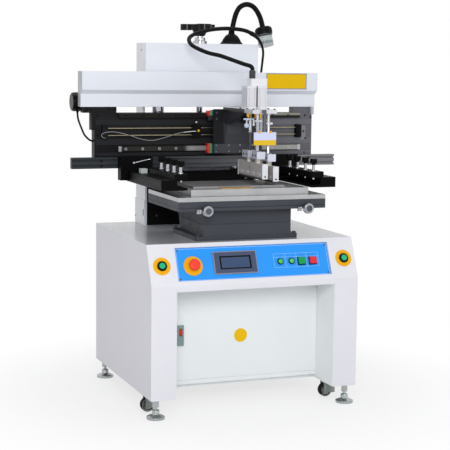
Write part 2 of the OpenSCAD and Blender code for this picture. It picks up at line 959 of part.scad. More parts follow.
module block_seals() {
    color("red")
        for (z = [guide_low_z, guide_top_z])
            difference() {
                block(carriage_x0 - 20, carriage_x0, carriage_front + carriage_plate + 2,
                    beam_front - 7, z - 20, z + 20);
                block(carriage_x0 - 21, carriage_x0 + 1, beam_front - 17, beam_front + 1,
                    z - 11, z + 11);
            }
}

module cylinders() {
    color("silver")
        for (x = [left_x, right_x])
            difference() {
                block(x - cylinder_half, x + cylinder_half, cylinder_front, cylinder_back,
                    mount_top, cylinder_top);
                post(x, back_rod_y, mount_top - 1, cylinder_top - 8, guide_rod + 4);
                for (side = [-1, 1])
                    block(x + side * 12 - 2, x + side * 12 + 2, cylinder_front - 1,
                        cylinder_front + 3, mount_top - 1, cylinder_top + 1);
            }
}

module hose_cap() {
    color("white") {
        block(hose_x - 13, right_x + 20, cylinder_front + 2, cylinder_back - 10,
            cylinder_top, cylinder_top + 30);
        post(hose_x, hose_y, cylinder_top + 29, cylinder_top + 62, 24);
    }
}

module brass_fittings() {
    color("goldenrod")
        for (x = [left_x - 20, right_x - 20]) {
            post(x, back_rod_y - 20, mount_low - 24, mount_low, 8);
            bar_y(x, back_rod_y - 34, back_rod_y - 20, mount_low - 18, 9);
        }
}

module sign_plate() {
    color("white") {
        block(sign_x - 47.5, sign_x + 47.5, sign_y, sign_y + 3, sign_low, sign_low + 51);
        block(sign_x - 6, sign_x + 6, sign_y + 3 - e, sign_y + 6, sign_low + 25, mount_top);
        block(sign_x - 6, sign_x + 6, sign_y + 5, mount_front, mount_low + 3, mount_top);
    }
}

module hose() {
    color("black")
        tube([[hose_x, hose_y, cylinder_top + 62 + near, 17],
            [hose_x, hose_y, cylinder_top + 66, 17], [hose_x, hose_y, cylinder_top + 70, 17],
            [hose_x - 6, hose_y + 5, cylinder_top + 79, 17],
            [hose_x - 27, hose_y + 24, cylinder_top + 87, 17],
            [hose_x - 53, hose_y + 55, cylinder_top + 99, 17],
            [hose_x - 95, hood_front - 133, cylinder_top + 119, 17],
            [hose_x - 129, hood_front - 95, cylinder_top + 129, 17],
            [hose_x - 161, hood_front - 57, cylinder_top + 145, 17],
            [hose_x - 181, hood_front - 18, cylinder_top + 164, 17],
            [hose_x - 180, hood_front + 12, cylinder_top + 188, 17],
            [hose_x - 149, hood_front + 27, cylinder_top + 208, 17],
            [hose_x - 82, hood_front + 33, cylinder_top + 226, 17],
            [hose_x - 17, hood_front + 37, cylinder_top + 233, 17],
            [hose_x + 36, hood_front + 39, cylinder_top + 232, 17],
            [clip_x - 88, hood_front + 41, cylinder_top + 226, 17],
            [clip_x - 52, hood_front + 45, cylinder_top + 212, 17],
            [clip_x - 24, hood_front + 52, cylinder_top + 192, 16],
            [clip_x - 4, hood_front + 62, cylinder_top + 166, 13],
            [clip_x + 7, hood_back + 3, cylinder_top + 136, 11],
            [clip_x + 8, hood_back + 12, cylinder_top + 100, 10],
            [clip_x + 4, hood_back + 13, cylinder_top + 60, 10],
            [clip_x, hood_back + 10, hood_top - 16, 10],
            [clip_x, hood_back + 10, hood_top - 34 + near, 10]],
            3, 10, [0, 1, 0]);
}

// One squeegee: holder, end plate, blade, clamp blocks, rods and cross bar, lifted by up
module squeegee(x, up) {
    low = holder_low + up;
    top = low + holder_height;
    block_low = top + neck_height;
    block_top = block_low + clamp_height;
    half = holder_thickness / 2;
    translate([x, front + holder_front, low])
        rotate([90, 0, 180])
            linear_extrude(height = holder_length)
                polygon([[-half, 5], [5 - half, 0], [half - 5, 0], [half, 5],
                    [half, holder_height], [-half, holder_height]]);
    difference() {
        block(x - half, x + half, holder_front - 3, holder_front + e, low, top);
        bar_y(x, holder_front - 4, holder_front + 1, low + 9, 6);
    }
    block(x - 2, x + 2, holder_front + 4, holder_front + holder_length - 4, low - 6.5, low + e);
    for (y = [front_rod_y - 12, back_rod_y + 6])
        post(x, y, top - e, block_low + e, 22);
    block(x - clamp_half, x + clamp_half, front_rod_y - 41, front_rod_y + 12,
        block_low, block_top);
    block(x - clamp_half, x + clamp_half, back_rod_y - 24, back_rod_y + 38,
        block_low, block_top);
    for (y = [front_rod_y, back_rod_y])
        post(x, y, block_top - e, mount_top + up, guide_rod);
    bar_x(x - 9, x + 17, front_rod_y, low + tee_rise, 10);
}

module squeegee_left() {
    color("silver")
        squeegee(left_x, left_squeegee_up);
}

module squeegee_right() {
    color("silver")
        squeegee(right_x, 0);
}

// Knob with five lobes on an upright pin
module star_knob(x, y, z) {
    translate([x, front + y, z]) {
        cylinder(h = 6, d = 15);
        translate([0, 0, 5])
            linear_extrude(height = 19) {
                circle(d = 22);
                for (a = [0 : 72 : 288])
                    rotate([0, 0, a])
                        translate([10, 0])
                            circle(d = 9);
            }
    }
}

// Clamping arm on the right-hand side; the left one is its mirror image
module arm() {
    difference() {
        union() {
            block(arm_inner, arm_inner + arm_body, arm_front, arm_back - 105, arm_low, arm_top);
            block(arm_inner + arm_body - e, arm_outer, arm_front, arm_back, arm_low, ledge_top);
            block(arm_inner, arm_outer + 30, arm_back - 22, rail_front - near,
                arm_low + 3, arm_top + 37);
        }
        block(arm_inner - 1, arm_inner + arm_body - 12, arm_front - 1, arm_back - 104,
            arm_low + lip_height, arm_low + lip_height + frame_gap);
        for (y = pin_y)
            post(pin_x, y, arm_low + lip_height, arm_top + 1, pin_diameter);
    }
    for (y = pin_y)
        star_knob(pin_x, y, arm_top + 25);
}

// Clamp pins of one arm
module arm_pins() {
    for (y = pin_y)
        post(pin_x, y, arm_low + lip_height + 20, arm_top + 25, pin_diameter);
}

module arm_right() {
    color("black")
        arm();
}

module arm_left() {
    color("black")
        mirror([1, 0, 0])
            arm();
}

module arm_pins_right() {
    color("silver")
        arm_pins();
}

module arm_pins_left() {
    color("silver") {
        mirror([1, 0, 0])
            arm_pins();
        block(-arm_outer + 23, -arm_outer + 49, arm_back - 130, arm_back - 100,
            ledge_top, ledge_top + 18);
        bar_y(-lever_x, arm_back - 37, arm_back - 22, arm_top + 28, 15);
        translate([-lever_x, front + arm_back - 32, arm_top + 28])
            rotate([0, -102, 0]) {
                cylinder(h = 76, d = 5);
                translate([0, 0, 76])
                    sphere(d = 11);
            }
    }
}

cabinet();
recess_panel();
control_panel();
screen_bezel();
screen_glass();
button_rings();
yellow_rings();
panel_lamps();
fixings();
stop_button();
start_button_left();
start_button_right();
green_button();
red_button();
breaker_rocker();
levelling_feet();
caster_fork_left();
caster_fork_right();
caster_wheel_left();
caster_wheel_right();
column();
column_cover();
guide_posts();
stop_screw();
handwheel();
lamp_stand();
lamp_head();
lamp_lens();
table_stand();
table_tray();
work_plate();
knob_left();
knob_right();
beam();
lift_bridge();
hood();
hood_label();
head_rails();
slot_rail();
sensor_block();
drive_motor();
motor_cable();
sensor_cable();
carriage();
block_seals();
cylinders();
hose_cap();
brass_fittings();
sign_plate();
hose();
squeegee_left();
squeegee_right();
arm_left();
arm_right();
arm_pins_left();
arm_pins_right();
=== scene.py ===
# %% [markdown]
# # Solder paste printer
# A bench-height machine that presses solder paste through a stencil onto circuit boards. The frame
# below holds every solid of the machine at its real size, in metres. This lesson dresses those solids:
# edges get small rounds, screws and ribs are grown, and each finish is a small node tree.

# %% The frame
import json
from math import cos, pi, radians, sin
import bmesh
import bpy
from mathutils import Matrix, Vector


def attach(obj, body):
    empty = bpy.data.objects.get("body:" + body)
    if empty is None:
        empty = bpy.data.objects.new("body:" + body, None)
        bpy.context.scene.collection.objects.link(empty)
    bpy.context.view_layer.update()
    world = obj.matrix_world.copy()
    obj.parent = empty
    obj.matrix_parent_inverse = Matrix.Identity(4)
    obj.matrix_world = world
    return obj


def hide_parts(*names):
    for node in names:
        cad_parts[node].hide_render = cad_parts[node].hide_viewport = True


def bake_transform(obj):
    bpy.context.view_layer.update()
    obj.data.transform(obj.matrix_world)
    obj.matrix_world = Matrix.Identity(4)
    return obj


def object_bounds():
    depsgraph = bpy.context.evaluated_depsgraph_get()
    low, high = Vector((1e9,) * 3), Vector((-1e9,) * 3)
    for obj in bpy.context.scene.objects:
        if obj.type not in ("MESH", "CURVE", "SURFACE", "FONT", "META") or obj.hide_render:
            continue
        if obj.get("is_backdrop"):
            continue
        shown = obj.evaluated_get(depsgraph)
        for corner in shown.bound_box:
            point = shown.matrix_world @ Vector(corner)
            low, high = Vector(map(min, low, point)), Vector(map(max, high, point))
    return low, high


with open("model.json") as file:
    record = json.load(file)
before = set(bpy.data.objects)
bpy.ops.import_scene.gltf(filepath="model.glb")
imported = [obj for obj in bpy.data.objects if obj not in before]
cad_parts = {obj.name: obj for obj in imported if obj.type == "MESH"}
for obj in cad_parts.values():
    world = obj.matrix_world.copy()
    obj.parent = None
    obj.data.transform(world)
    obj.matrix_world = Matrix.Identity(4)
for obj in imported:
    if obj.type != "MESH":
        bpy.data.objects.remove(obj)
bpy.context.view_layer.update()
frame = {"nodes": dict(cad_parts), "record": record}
nodes = frame["nodes"]
body_of = {n: b for b, names in frame["record"]["behaviour"]["bodies"].items() for n in names}
CABINET_FRONT = -0.388
BASE, HEAD, CARRIAGE = "machine_base", "print_head", "squeegee_carriage"


def at(x, y, z):
    """Point in metres from millimetres: across, behind the cabinet's front, above the floor."""
    return Vector((x / 1000, y / 1000 + CABINET_FRONT, z / 1000))


def shown(name, data):
    """A new object in the scene."""
    thing = bpy.data.objects.new(name, data)
    bpy.context.scene.collection.objects.link(thing)
    return thing


# %% [markdown]
# ## Camera, floor and light
# The photograph was taken from the left with a long lens, a little above the table. The floor is pale
# and fades to white further out, so that only a soft contact shadow stays. Three large soft lamps and
# a bright room light the machine. The strongest lamp is in front, so the white fascia is the brightest
# side. The left side gets only what the room gives and is the darkest.

# %% Camera
CAMERA_PLACE, LENS, SENSOR = (-1.882, -4.948, 1.335), 104.7, 36
yaw, pitch, roll = radians(20.94), radians(7.02), radians(0.68)
look = Vector((sin(yaw) * cos(pitch), cos(yaw) * cos(pitch), -sin(pitch)))
level = Vector((cos(yaw), -sin(yaw), 0))
upright = level.cross(look)
side = level * cos(roll) + upright * sin(roll)
upright = upright * cos(roll) - level * sin(roll)
camera = shown("camera", bpy.data.cameras.new("camera"))
camera.data.lens, camera.data.sensor_width = LENS, SENSOR
camera.matrix_world = Matrix.Translation(CAMERA_PLACE) @ Matrix((side, upright, -look)).transposed().to_4x4()
bpy.context.scene.camera = camera
bpy.context.scene.view_settings.view_transform = "Standard"
print("camera at", CAMERA_PLACE, "lens", LENS)


# %% Small helpers for node trees
def wire(tree, kind, links=(), **settings):
    """Adds a node: settings are its properties, links its inputs by name or number."""
    node = tree.nodes.new(kind if kind.startswith("Geometry") else "ShaderNode" + kind)
    for key, value in settings.items():
        setattr(node, key, value)
    for key, value in dict(links).items():
        if isinstance(value, bpy.types.NodeSocket):
            tree.links.new(value, node.inputs[key])
        else:
            node.inputs[key].default_value = value
    return node


def maths(tree, operation, *values):
    return wire(tree, "Math", dict(enumerate(values)), operation=operation).outputs[0]


def mixed(tree, share, first, second, **settings):
    """A colour between two others."""
    return wire(tree, "MixRGB", {0: share, 1: first, 2: second}, **settings).outputs[0]


def shade(code):
    """Linear colour from a paint maker's hex code."""
    parts = [int(code[i:i + 2], 16) / 255 for i in (1, 3, 5)]
    return [p / 12.92 if p <= 0.04045 else ((p + 0.055) / 1.055) ** 2.4 for p in parts] + [1]


def blank(thing):
    """The emptied node tree of a new room or finish."""
    thing.use_nodes = True
    thing.node_tree.nodes.clear()
    return thing.node_tree


# %% Room and floor
def seen_directly(tree):
    """1 where the camera, a mirror or clear plastic looks at the room, 0 where it only gives light."""
    rays = wire(tree, "LightPath").outputs
    both = maths(tree, "MAXIMUM", rays["Is Camera Ray"], rays["Is Transmission Ray"])
    return maths(tree, "MAXIMUM", both, rays["Is Glossy Ray"])


WHITE, ROOM_TINT, ROOM_LIGHT = (1, 1, 1, 1), (0.95, 0.97, 1.0, 1), 0.5
world = bpy.data.worlds.new("room")
bpy.context.scene.world = world
room = blank(world)
ambient = wire(room, "Background", {"Color": ROOM_TINT, "Strength": ROOM_LIGHT}).outputs[0]
backdrop = wire(room, "Background", {"Color": WHITE, "Strength": 1.0}).outputs[0]
both = wire(room, "MixShader", {0: seen_directly(room), 1: ambient, 2: backdrop})
wire(room, "OutputWorld", {"Surface": both.outputs[0]})

FLOOR_REACH, SHADOW_ENDS, ALL_WHITE, SHADOW_FADE = 20, 0.5, 1.3, 0.72
floor_mesh = bpy.data.meshes.new("floor")
floor_mesh.from_pydata([(x * FLOOR_REACH, y * FLOOR_REACH, 0) for x, y in ((-1, -1), (1, -1), (1, 1), (-1, 1))],
                       [], [(0, 1, 2, 3)])
shown("floor", floor_mesh)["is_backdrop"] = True
pale = bpy.data.materials.new("pale_floor")
tree = blank(pale)
spot = wire(tree, "TexCoord").outputs["Object"]
speck = wire(tree, "TexNoise", {"Vector": spot, "Scale": 60.0}).outputs[0]
matt = wire(tree, "BsdfDiffuse", {"Color": mixed(tree, speck, (0.83, 0.83, 0.84, 1), (0.86, 0.86, 0.87, 1))})
glow = wire(tree, "Emission", {"Color": WHITE, "Strength": 1.0})
far = wire(tree, "VectorMath", {0: spot}, operation="LENGTH").outputs["Value"]
fade = wire(tree, "MapRange", {"Value": far, "From Min": SHADOW_ENDS, "From Max": ALL_WHITE,
                               "To Min": SHADOW_FADE, "To Max": 1.0}, interpolation_type="SMOOTHSTEP").outputs[0]
share = maths(tree, "MULTIPLY", fade, seen_directly(tree))
both = wire(tree, "MixShader", {0: share, 1: matt.outputs[0], 2: glow.outputs[0]})
wire(tree, "OutputMaterial", {"Surface": both.outputs[0]})
floor_mesh.materials.append(pale)


# %% Lamps
def soft_lamp(name, place, aim, size, power):
    light = bpy.data.lights.new(name, "AREA")
    light.shape, light.size, light.energy = "DISK", size, power
    lamp = shown(name, light)
    lamp.location = place
    lamp.rotation_euler = (Vector(aim) - Vector(place)).to_track_quat("-Z", "Y").to_euler()
    print(name, power, "W")


soft_lamp("key_lamp", (-1.5, -4.3, 2.3), (0, 0, 1.0), 2.0, 101)
soft_lamp("fill_lamp", (2.4, -3.6, 1.8), (0, 0, 0.8), 2.6, 10)
soft_lamp("top_lamp", (0.3, 0.4, 4.2), (0, 0, 0.9), 2.6, 26)

# %% [markdown]
# ## Finishes
# A few recipes make all the finishes. Paint has a fine orange peel and drifts a little in tone. Metal
# is brushed along one direction or cast with a grain. Moulded plastic has a fine spark texture. Each
# reads Object coordinates, so a pattern has its real scale in metres and stays put on its piece. Flat
# colours would be quicker, but the light would then show no difference between paint and metal.

# %% Parts of a recipe
finish = {}


def material(name, shine=0.5, **constants):
    """A new finish; shine and the other constants go straight on the shader's sockets."""
    made = finish[name] = bpy.data.materials.new(name)
    made.use_nodes = True
    shader = made.node_tree.nodes["Principled BSDF"]
    for key, value in {"Specular IOR Level": shine, **constants}.items():
        shader.inputs[key.replace("_", " ")].default_value = value
    return made.node_tree, wire(made.node_tree, "TexCoord").outputs["Object"]


def noise(tree, coords, scale, detail=2.0, stretch=None):
    """Noise at so many grains a metre, stretched along an axis where asked."""
    if stretch:
        coords = wire(tree, "Mapping", {"Vector": coords, "Scale": stretch}).outputs[0]
    return wire(tree, "TexNoise", {"Vector": coords, "Scale": scale, "Detail": detail}).outputs[0]


def span(tree, value, low, high, start=0.3, end=0.7):
    """Maps a noise onto a range."""
    return wire(tree, "MapRange", {"Value": value, "From Min": start, "From Max": end,
                                   "To Min": low, "To Max": high}).outputs[0]


def tones(tree, value, colour, darker, lighter=1.0):
    """Colour that drifts between two strengths of itself."""
    return mixed(tree, value, *([c * strength for c in colour[:3]] + [1] for strength in (darker, lighter)))


def finished(tree, colour, roughness, height, strength, depth=0.0002):
    """Joins the shader to its colour, its roughness and a relief of a real depth in metres."""
    relief = wire(tree, "Bump", {"Height": height, "Strength": strength, "Distance": depth}).outputs[0]
    sockets = tree.nodes["Principled BSDF"].inputs
    for name, value in (("Base Color", colour), ("Roughness", roughness), ("Normal", relief)):
        tree.links.new(value, sockets[name])


# %% Recipes
def painted(name, code, rough=0.38, peel=0.25, drift=0.96, grain=420, wear=1.0, **more):
    """Sprayed or powder paint; wear says how much its gloss varies from spot to spot."""
    tree, coords = material(name, **more)
    colour = tones(tree, noise(tree, coords, 5.0, 3.0), shade(code), drift, 1.015)
    gloss = span(tree, noise(tree, coords, 38.0, 4.0), rough - 0.04 * wear, rough + 0.07 * wear)
    finished(tree, colour, gloss, noise(tree, coords, grain), peel, 0.0004)


def brushed(name, code, rough=0.32, along=(30, 30, 1), strength=0.12, drift=0.86, metallic=1.0):
    """Bare metal with the marks of its last tool, drawn out along the axis with the low number."""
    tree, coords = material(name, Metallic=metallic)
    streaks = noise(tree, coords, 40.0, 6.0, along)
    blended = maths(tree, "MULTIPLY", streaks, noise(tree, coords, 14.0, 3.0))
    colour = tones(tree, span(tree, blended, 0, 1, 0.12, 0.4), shade(code), drift, 1.03)
    finished(tree, colour, span(tree, streaks, rough - 0.07, rough + 0.1), streaks, strength)


def moulded(name, code, rough=0.42, grain=1500, strength=0.3, **more):
    """Injection moulded plastic."""
    tree, coords = material(name, **more)
    colour = tones(tree, noise(tree, coords, 22.0, 4.0), shade(code), 0.93, 1.02)
    gloss = span(tree, noise(tree, coords, 130.0), rough - 0.05, rough + 0.06)
    finished(tree, colour, gloss, noise(tree, coords, grain), strength)


def cast(name, code, rough=0.5, grain=260, strength=0.5, shine=0.1):
    """Machined casting under hammered or satin paint."""
    tree, coords = material(name, shine)
    cells = wire(tree, "TexVoronoi", {"Vector": coords, "Scale": float(grain)}).outputs[0]
    colour = tones(tree, noise(tree, coords, 9.0, 5.0), shade(code), 0.88, 1.08)
    gloss = span(tree, noise(tree, coords, 70.0, 4.0), rough - 0.08, rough + 0.08)
    finished(tree, colour, gloss, cells, strength, 0.0003)


def two_colour(name, low_code, high_code, axis, height, rough=0.4, shadow_band=None):
    """One piece in two colours, parted at a height along one axis. The last argument gives the middle and half width of
    a black band of painted shadow.
    """
    tree, coords = material(name)
    place = wire(tree, "SeparateXYZ", {0: coords}).outputs
    base = mixed(tree, maths(tree, "GREATER_THAN", place[axis], height), shade(low_code), shade(high_code))
    fine = tones(tree, noise(tree, coords, 60.0, 4.0), [1, 1, 1], 0.93, 1.0)
    colour = mixed(tree, 1.0, base, fine, blend_type="MULTIPLY")
    # A black band of painted shadow, where one is asked for.
    if shadow_band:
        colour = mixed(tree, maths(tree, "COMPARE", place[2], *shadow_band), colour, shade("#101113"))
    gloss = span(tree, noise(tree, coords, 90.0), rough - 0.06, rough + 0.06)
    finished(tree, colour, gloss, noise(tree, coords, 900.0), 0.2)


def graded(name, left_code, right_code, start, end, rough=0.4, metallic=0.0, above=0.0):
    """Milled bar whose tone passes from the left code to the right code across the machine, above a height; below it
    the left tone stays. On the beam and the rails this is painted light: painted shade at the left, painted reflection
    at the right.
    """
    tree, coords = material(name, 0.1, Metallic=metallic)
    place = wire(tree, "SeparateXYZ", {0: coords}).outputs
    ramp = wire(tree, "MapRange", {"Value": place[0], "From Min": start, "From Max": end},
                interpolation_type="SMOOTHSTEP").outputs[0]
    share = maths(tree, "MULTIPLY", ramp, maths(tree, "GREATER_THAN", place[2], above))
    base = mixed(tree, share, shade(left_code), shade(right_code))
    streaks = noise(tree, coords, 40.0, 5.0, (1, 30, 30))
    colour = mixed(tree, 1.0, base, tones(tree, streaks, [1, 1, 1], 0.8, 1.0), blend_type="MULTIPLY")
    finished(tree, colour, span(tree, streaks, rough - 0.05, rough + 0.08), streaks, 0.05)


def clear_plastic(name, code):
    tree, coords = material(name, Transmission_Weight=0.92, IOR=1.46)
    colour = tones(tree, noise(tree, coords, 30.0), shade(code), 0.9)
    finished(tree, colour, span(tree, noise(tree, coords, 90.0), 0.05, 0.14), noise(tree, coords, 160.0), 0.15, 0.0003)


# %% Finishes of this machine
painted("cabinet_white", "#E3E2E8", 0.36, 0.16)
painted("deck_gloss", "#BEBFC3", 0.22, 0.006, wear=0.2, shine=0.3, Coat_Weight=0.15, Coat_Roughness=0.1)
painted("head_white", "#E6E9F0", 0.34, 0.16)
# A lighter copy of the white paint for the column's lower side sheets: painted light. The next, darker copy is for the
# sides of the hood and the top box: painted shade.
painted("lit_side_white", "#FAFBFD", 0.34, 0.16)
painted("shaded_side_white", "#BEC1C4", 0.36, 0.16)
painted("recess_grey", "#E8ECEC", 0.42, 0.2)
painted("panel_film", "#309CFA", 0.3, 0.12, 0.93, 900, shine=0.15)
painted("panel_line", "#A4D2FF", 0.4, 0.1)
painted("screen_dark", "#435676", 0.3, 0.02, 0.8, 40, shine=0.12)
painted("label_yellow", "#EEC000", 0.4, 0.06, 0.9, 200, shine=0.15)
painted("label_edge", "#6E7690", 0.4, 0.1)
painted("ledge_grey", "#C4CACA", 0.4)
painted("plate_grey", "#7B7B81", 0.4)
painted("bracket_white", "#BDBDC3", 0.4)
moulded("bezel_grey", "#938D90", 0.36, shine=0.3)
moulded("bezel_dark", "#48526C", 0.36, shine=0.2)
moulded("plastic_black", "#050506", 0.25, 1500, 0.1, shine=0.12)
moulded("wheel_black", "#020203", 0.12, 300, 0.02, shine=0.2)
moulded("plastic_matt", "#0B0B0D", 0.5, 900, 0.3, shine=0.08)
moulded("ring_yellow", "#F2B000", 0.4, shine=0.2)
moulded("lamp_green", "#4CC84A", 0.18, 300, 0.1, Subsurface_Weight=0.2, Coat_Weight=0.25)
moulded("stop_red", "#F5432F", 0.32, shine=0.25)
moulded("start_green", "#00B880", 0.2, 300, 0.1, shine=0.35)
moulded("square_green", "#009F4A", 0.25, 300, 0.1, shine=0.25)
moulded("square_red", "#E92A2E", 0.25, 300, 0.1, shine=0.25)
moulded("breaker_grey", "#7C9290", 0.45)
moulded("rocker_red", "#E32A12", 0.35, shine=0.25)
moulded("cable_black", "#060709", 0.34, 700, 0.15, shine=0.12)
moulded("cable_grey", "#30343C", 0.45, 700, 0.2)
moulded("cap_white", "#EAEAEE", 0.36)
moulded("fitting_blue", "#C6D2E8", 0.3)
moulded("edge_white", "#E2E2E9", 0.4)
moulded("blade", "#3A3026", 0.4, 500, 0.1)
moulded("led_white", "#F4F6FF", 0.3)
brushed("steel", "#A6A8AC", 0.3, (8, 8, 8), 0.1)
brushed("zinc", "#BCC2C1", 0.26, (6, 6, 6), 0.3, 0.6)
brushed("dark_zinc", "#5C606A", 0.4, (6, 6, 6), 0.2, 0.7)
brushed("chrome", "#B6B8BE", 0.1, (12, 12, 1), 0.02, 0.95)
brushed("fork_zinc", "#A4ABA8", 0.36, (5, 5, 5), 0.3, 0.5)
brushed("tray_metal", "#B2B3B5", 0.36, (1, 30, 30), 0.06)
brushed("plate_metal", "#9C9C9E", 0.36, (30, 1, 30), 0.06)
brushed("copper", "#D2A55E", 0.35, (1, 30, 30), 0.08, 0.6)
brushed("bridge_metal", "#77797E", 0.42, (1, 30, 30), 0.08)
brushed("rod_cream", "#A59B82", 0.3, (1, 20, 20), 0.03)
brushed("cylinder_metal", "#D4D4D9", 0.42, (30, 30, 1), 0.05, 0.92, 0.5)
brushed("brass", "#D8AC50", 0.22, (6, 6, 6), 0.08)
brushed("squeegee_metal", "#C6C2BE", 0.42, (30, 1, 30), 0.06, 0.86, 0.3)
brushed("clamp_metal", "#D4D8E4", 0.4, (12, 12, 12), 0.06, 0.86, 0.35)
cast("rubber", "#1D1E1F", 0.7, 700, 0.3)
cast("casting_grey", "#3D4047", 0.5, 300, 0.03, 0.25)
cast("carriage_panel", "#4B4C51", 0.4, 300, 0.03)
cast("arm_black", "#050506", 0.42, 300, 0.015, 0.06)
# The beam, its strips, the two rails and the slotted rail grow lighter to the right: painted shade at the left end,
# painted reflection at the right. Below 1.121 m the upper rail keeps its dark tone, a painted shadow.
graded("beam_dark", "#19191B", "#6C6C73", 0.04, 0.2, 0.36)
graded("beam_light", "#242528", "#75757C", 0.04, 0.2, 0.36)
graded("low_rail", "#33322F", "#959592", -0.105, -0.08, 0.3, 0.7)
graded("high_rail", "#222220", "#85837B", 0.08, 0.2, 0.3, 0.6, above=1.121)
graded("slot_grey", "#383B3F", "#828286", -0.25, 0.35, 0.42, 0.3)
graded("carriage_dark", "#212225", "#47484D", 0.055, 0.072, 0.38)
two_colour("cable_tones", "#8C8B88", "#F0F0F6", 0, -0.112)
two_colour("sign_colours", "#E6BC00", "#D3D9F4", 2, 1.039)
two_colour("mount_sides", "#C2C3C9", "#111214", 1, -0.088)
two_colour("rear_rod", "#2B2C30", "#CFD2DA", 2, 1.064)
# The black band on the seals is painted shadow: the lower half of the upper pair sits in the shadow gap under the upper
# rail.
two_colour("seal_colours", "#E2251A", "#1E9E78", 0, 0.004, shadow_band=(1.106, 0.0155))
clear_plastic("lens_clear", "#B9C1C1")
print("finishes:", len(finish))

# %% [markdown]
# ## Tools for pieces
# `dressed` copies a CAD solid, welds its loose triangles into flat faces, rounds every sharp edge by
# its real radius and gives faces their finishes. `Shape` collects boxes and turned forms for the small
# parts that the solids leave out. Both end as one plain mesh at the origin, riding on its body. A bevel
# modifier is used for the rounds, because it follows whatever edges a solid has.

# %% Finishing a mesh
SHARP, VERY_SHARP, FLAT, WELD = radians(38), radians(60), radians(0.6), 2e-5


def as_mesh(work, name):
    mesh = bpy.data.meshes.new(name)
    work.to_mesh(mesh)
    work.free()
    return mesh


def smooth(mesh, angle=SHARP):
    """Smooth shading that stops at edges sharper than an angle."""
    mesh.polygons.foreach_set("use_smooth", [True] * len(mesh.polygons))
    mesh.set_sharp_from_angle(angle=angle)
    return mesh


def applied(holder):
    """The plain mesh that an object's modifiers make; the object itself goes."""
    deps = bpy.context.evaluated_depsgraph_get()
    mesh = bpy.data.meshes.new_from_object(holder.evaluated_get(deps), depsgraph=deps)
    bpy.data.objects.remove(holder)
    return mesh


def rounded(mesh, radius, steps=2):
    """Rounds the sharp edges of a mesh by a radius in millimetres."""
    smooth(mesh)
    if not radius:
        return mesh
    holder = shown("holder", mesh)
    bevel = holder.modifiers.new("round", "BEVEL")
    bevel.width, bevel.segments, bevel.limit_method = radius / 1000, steps, "ANGLE"
    bevel.angle_limit, bevel.harden_normals, bevel.miter_outer = SHARP, True, "MITER_ARC"
    bevel.use_clamp_overlap = True
    return applied(holder)


def placed(name, mesh, body, finishes):
    """Turns a finished mesh into a piece on its body. finishes: one name, or (name, test) pairs."""
    mesh.name = name
    mesh.materials.clear()
    pairs = finishes if isinstance(finishes, list) else [(finishes, None)]
    for finish_name, test in pairs:
        mesh.materials.append(finish[finish_name])
    for face in mesh.polygons:
        hits = [i for i, (_, test) in enumerate(pairs) if test and test(face.center, face.normal)]
        face.material_index = hits[-1] if hits else 0
    print(name, len(mesh.polygons), "faces")
    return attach(shown(name, mesh), body)


def dressed(node, finishes, radius=1.0, steps=2):
    """The visible form of a CAD node: same shape, rounded edges, real finish."""
    work = bmesh.new()
    work.from_mesh(nodes[node].data)
    bmesh.ops.remove_doubles(work, verts=work.verts, dist=WELD)
    bmesh.ops.dissolve_limit(work, angle_limit=FLAT, verts=work.verts, edges=work.edges)
    mesh = rounded(as_mesh(work, node), radius, steps)
    piece = placed(node + "_form", mesh, body_of[node], finishes)
    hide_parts(node)
    return piece


# %% Collecting small solids
class Shape:
    """Simple solids in millimetres: across, behind the cabinet's front, above the floor."""

    def __init__(self, place=Matrix.Translation((0, CABINET_FRONT, 0))):
        self.work, self.place = bmesh.new(), place

    def box(self, x0, x1, y0, y1, z0, z1):
        size = Matrix.Diagonal(((x1 - x0) / 1000, (y1 - y0) / 1000, (z1 - z0) / 1000, 1))
        middle = Matrix.Translation(((x0 + x1) / 2000, (y0 + y1) / 2000, (z0 + z1) / 2000))
        bmesh.ops.create_cube(self.work, size=1, matrix=self.place @ middle @ size)
        return self

    def bars(self, rows, low, high):
        """Flat bars of one thickness; rows hold each one's ends across and up."""
        for row in rows:
            self.box(*row, low, high)
        return self

    def turned(self, start, axis, profile, sides=20):
        """A form turned on a lathe: profile is a list of (radius, distance along the axis)."""
        place = Matrix.Translation(at(*start)) @ Vector(axis).to_track_quat("Z", "Y").to_matrix().to_4x4()
        rings = []
        for radius, height in profile:
            corners = [2 * pi * k / sides for k in range(sides if radius else 1)]
            points = [Vector((radius * cos(a), radius * sin(a), height)) / 1000 for a in corners]
            rings.append([self.work.verts.new(place @ point) for point in points])
        for low, high in zip(rings, rings[1:]):
            for k in range(sides):
                a, b = low[k % len(low)], low[(k + 1) % len(low)]
                c, d = high[(k + 1) % len(high)], high[k % len(high)]
                self.work.faces.new([v for i, v in enumerate((a, b, c, d)) if v not in (a, b, c, d)[:i]])
        for ring in (rings[0], rings[-1]):
            if len(ring) > 1:
                self.work.faces.new(ring)
        return self

    def piece(self, name, body, slot_name, finishes, radius=0.4):
        bmesh.ops.recalc_face_normals(self.work, faces=self.work.faces)
        return placed(name, rounded(as_mesh(self.work, name), radius), body, finishes)


def border(x0, x1, s0, s1, side, end, lap=0.0):
    """Four bars round a rectangle; lap is how far the side bars run into the end bars."""
    low, high = s0 + end - lap, s1 - end + lap
    return [(x0, x1, s1 - end, s1), (x0, x1, s0, s0 + end), (x0, x0 + side, low, high), (x1 - side, x1, low, high)]


def line_mesh(name, route):
    """A line as a mesh without faces, for a tree to read."""
    mesh = bpy.data.meshes.new(name)
    mesh.from_pydata(route, [(i, i + 1) for i in range(len(route) - 1)], [])
    return mesh


def disc(radius, thick):
    """A plain disc's profile for the lathe."""
    return [(radius, 0), (radius, thick), (0, thick)]


# %% [markdown]
# ## Cords
# Three flexible lines leave one part of the machine and go back into another: the thick air hose that
# bends over the hood, the motor's cable and the thin cable of the stroke sensor. Each follows a smooth
# curve through a few points, with rings set square to it. The hose is corrugated, so its radius swells
# and shrinks along the line.

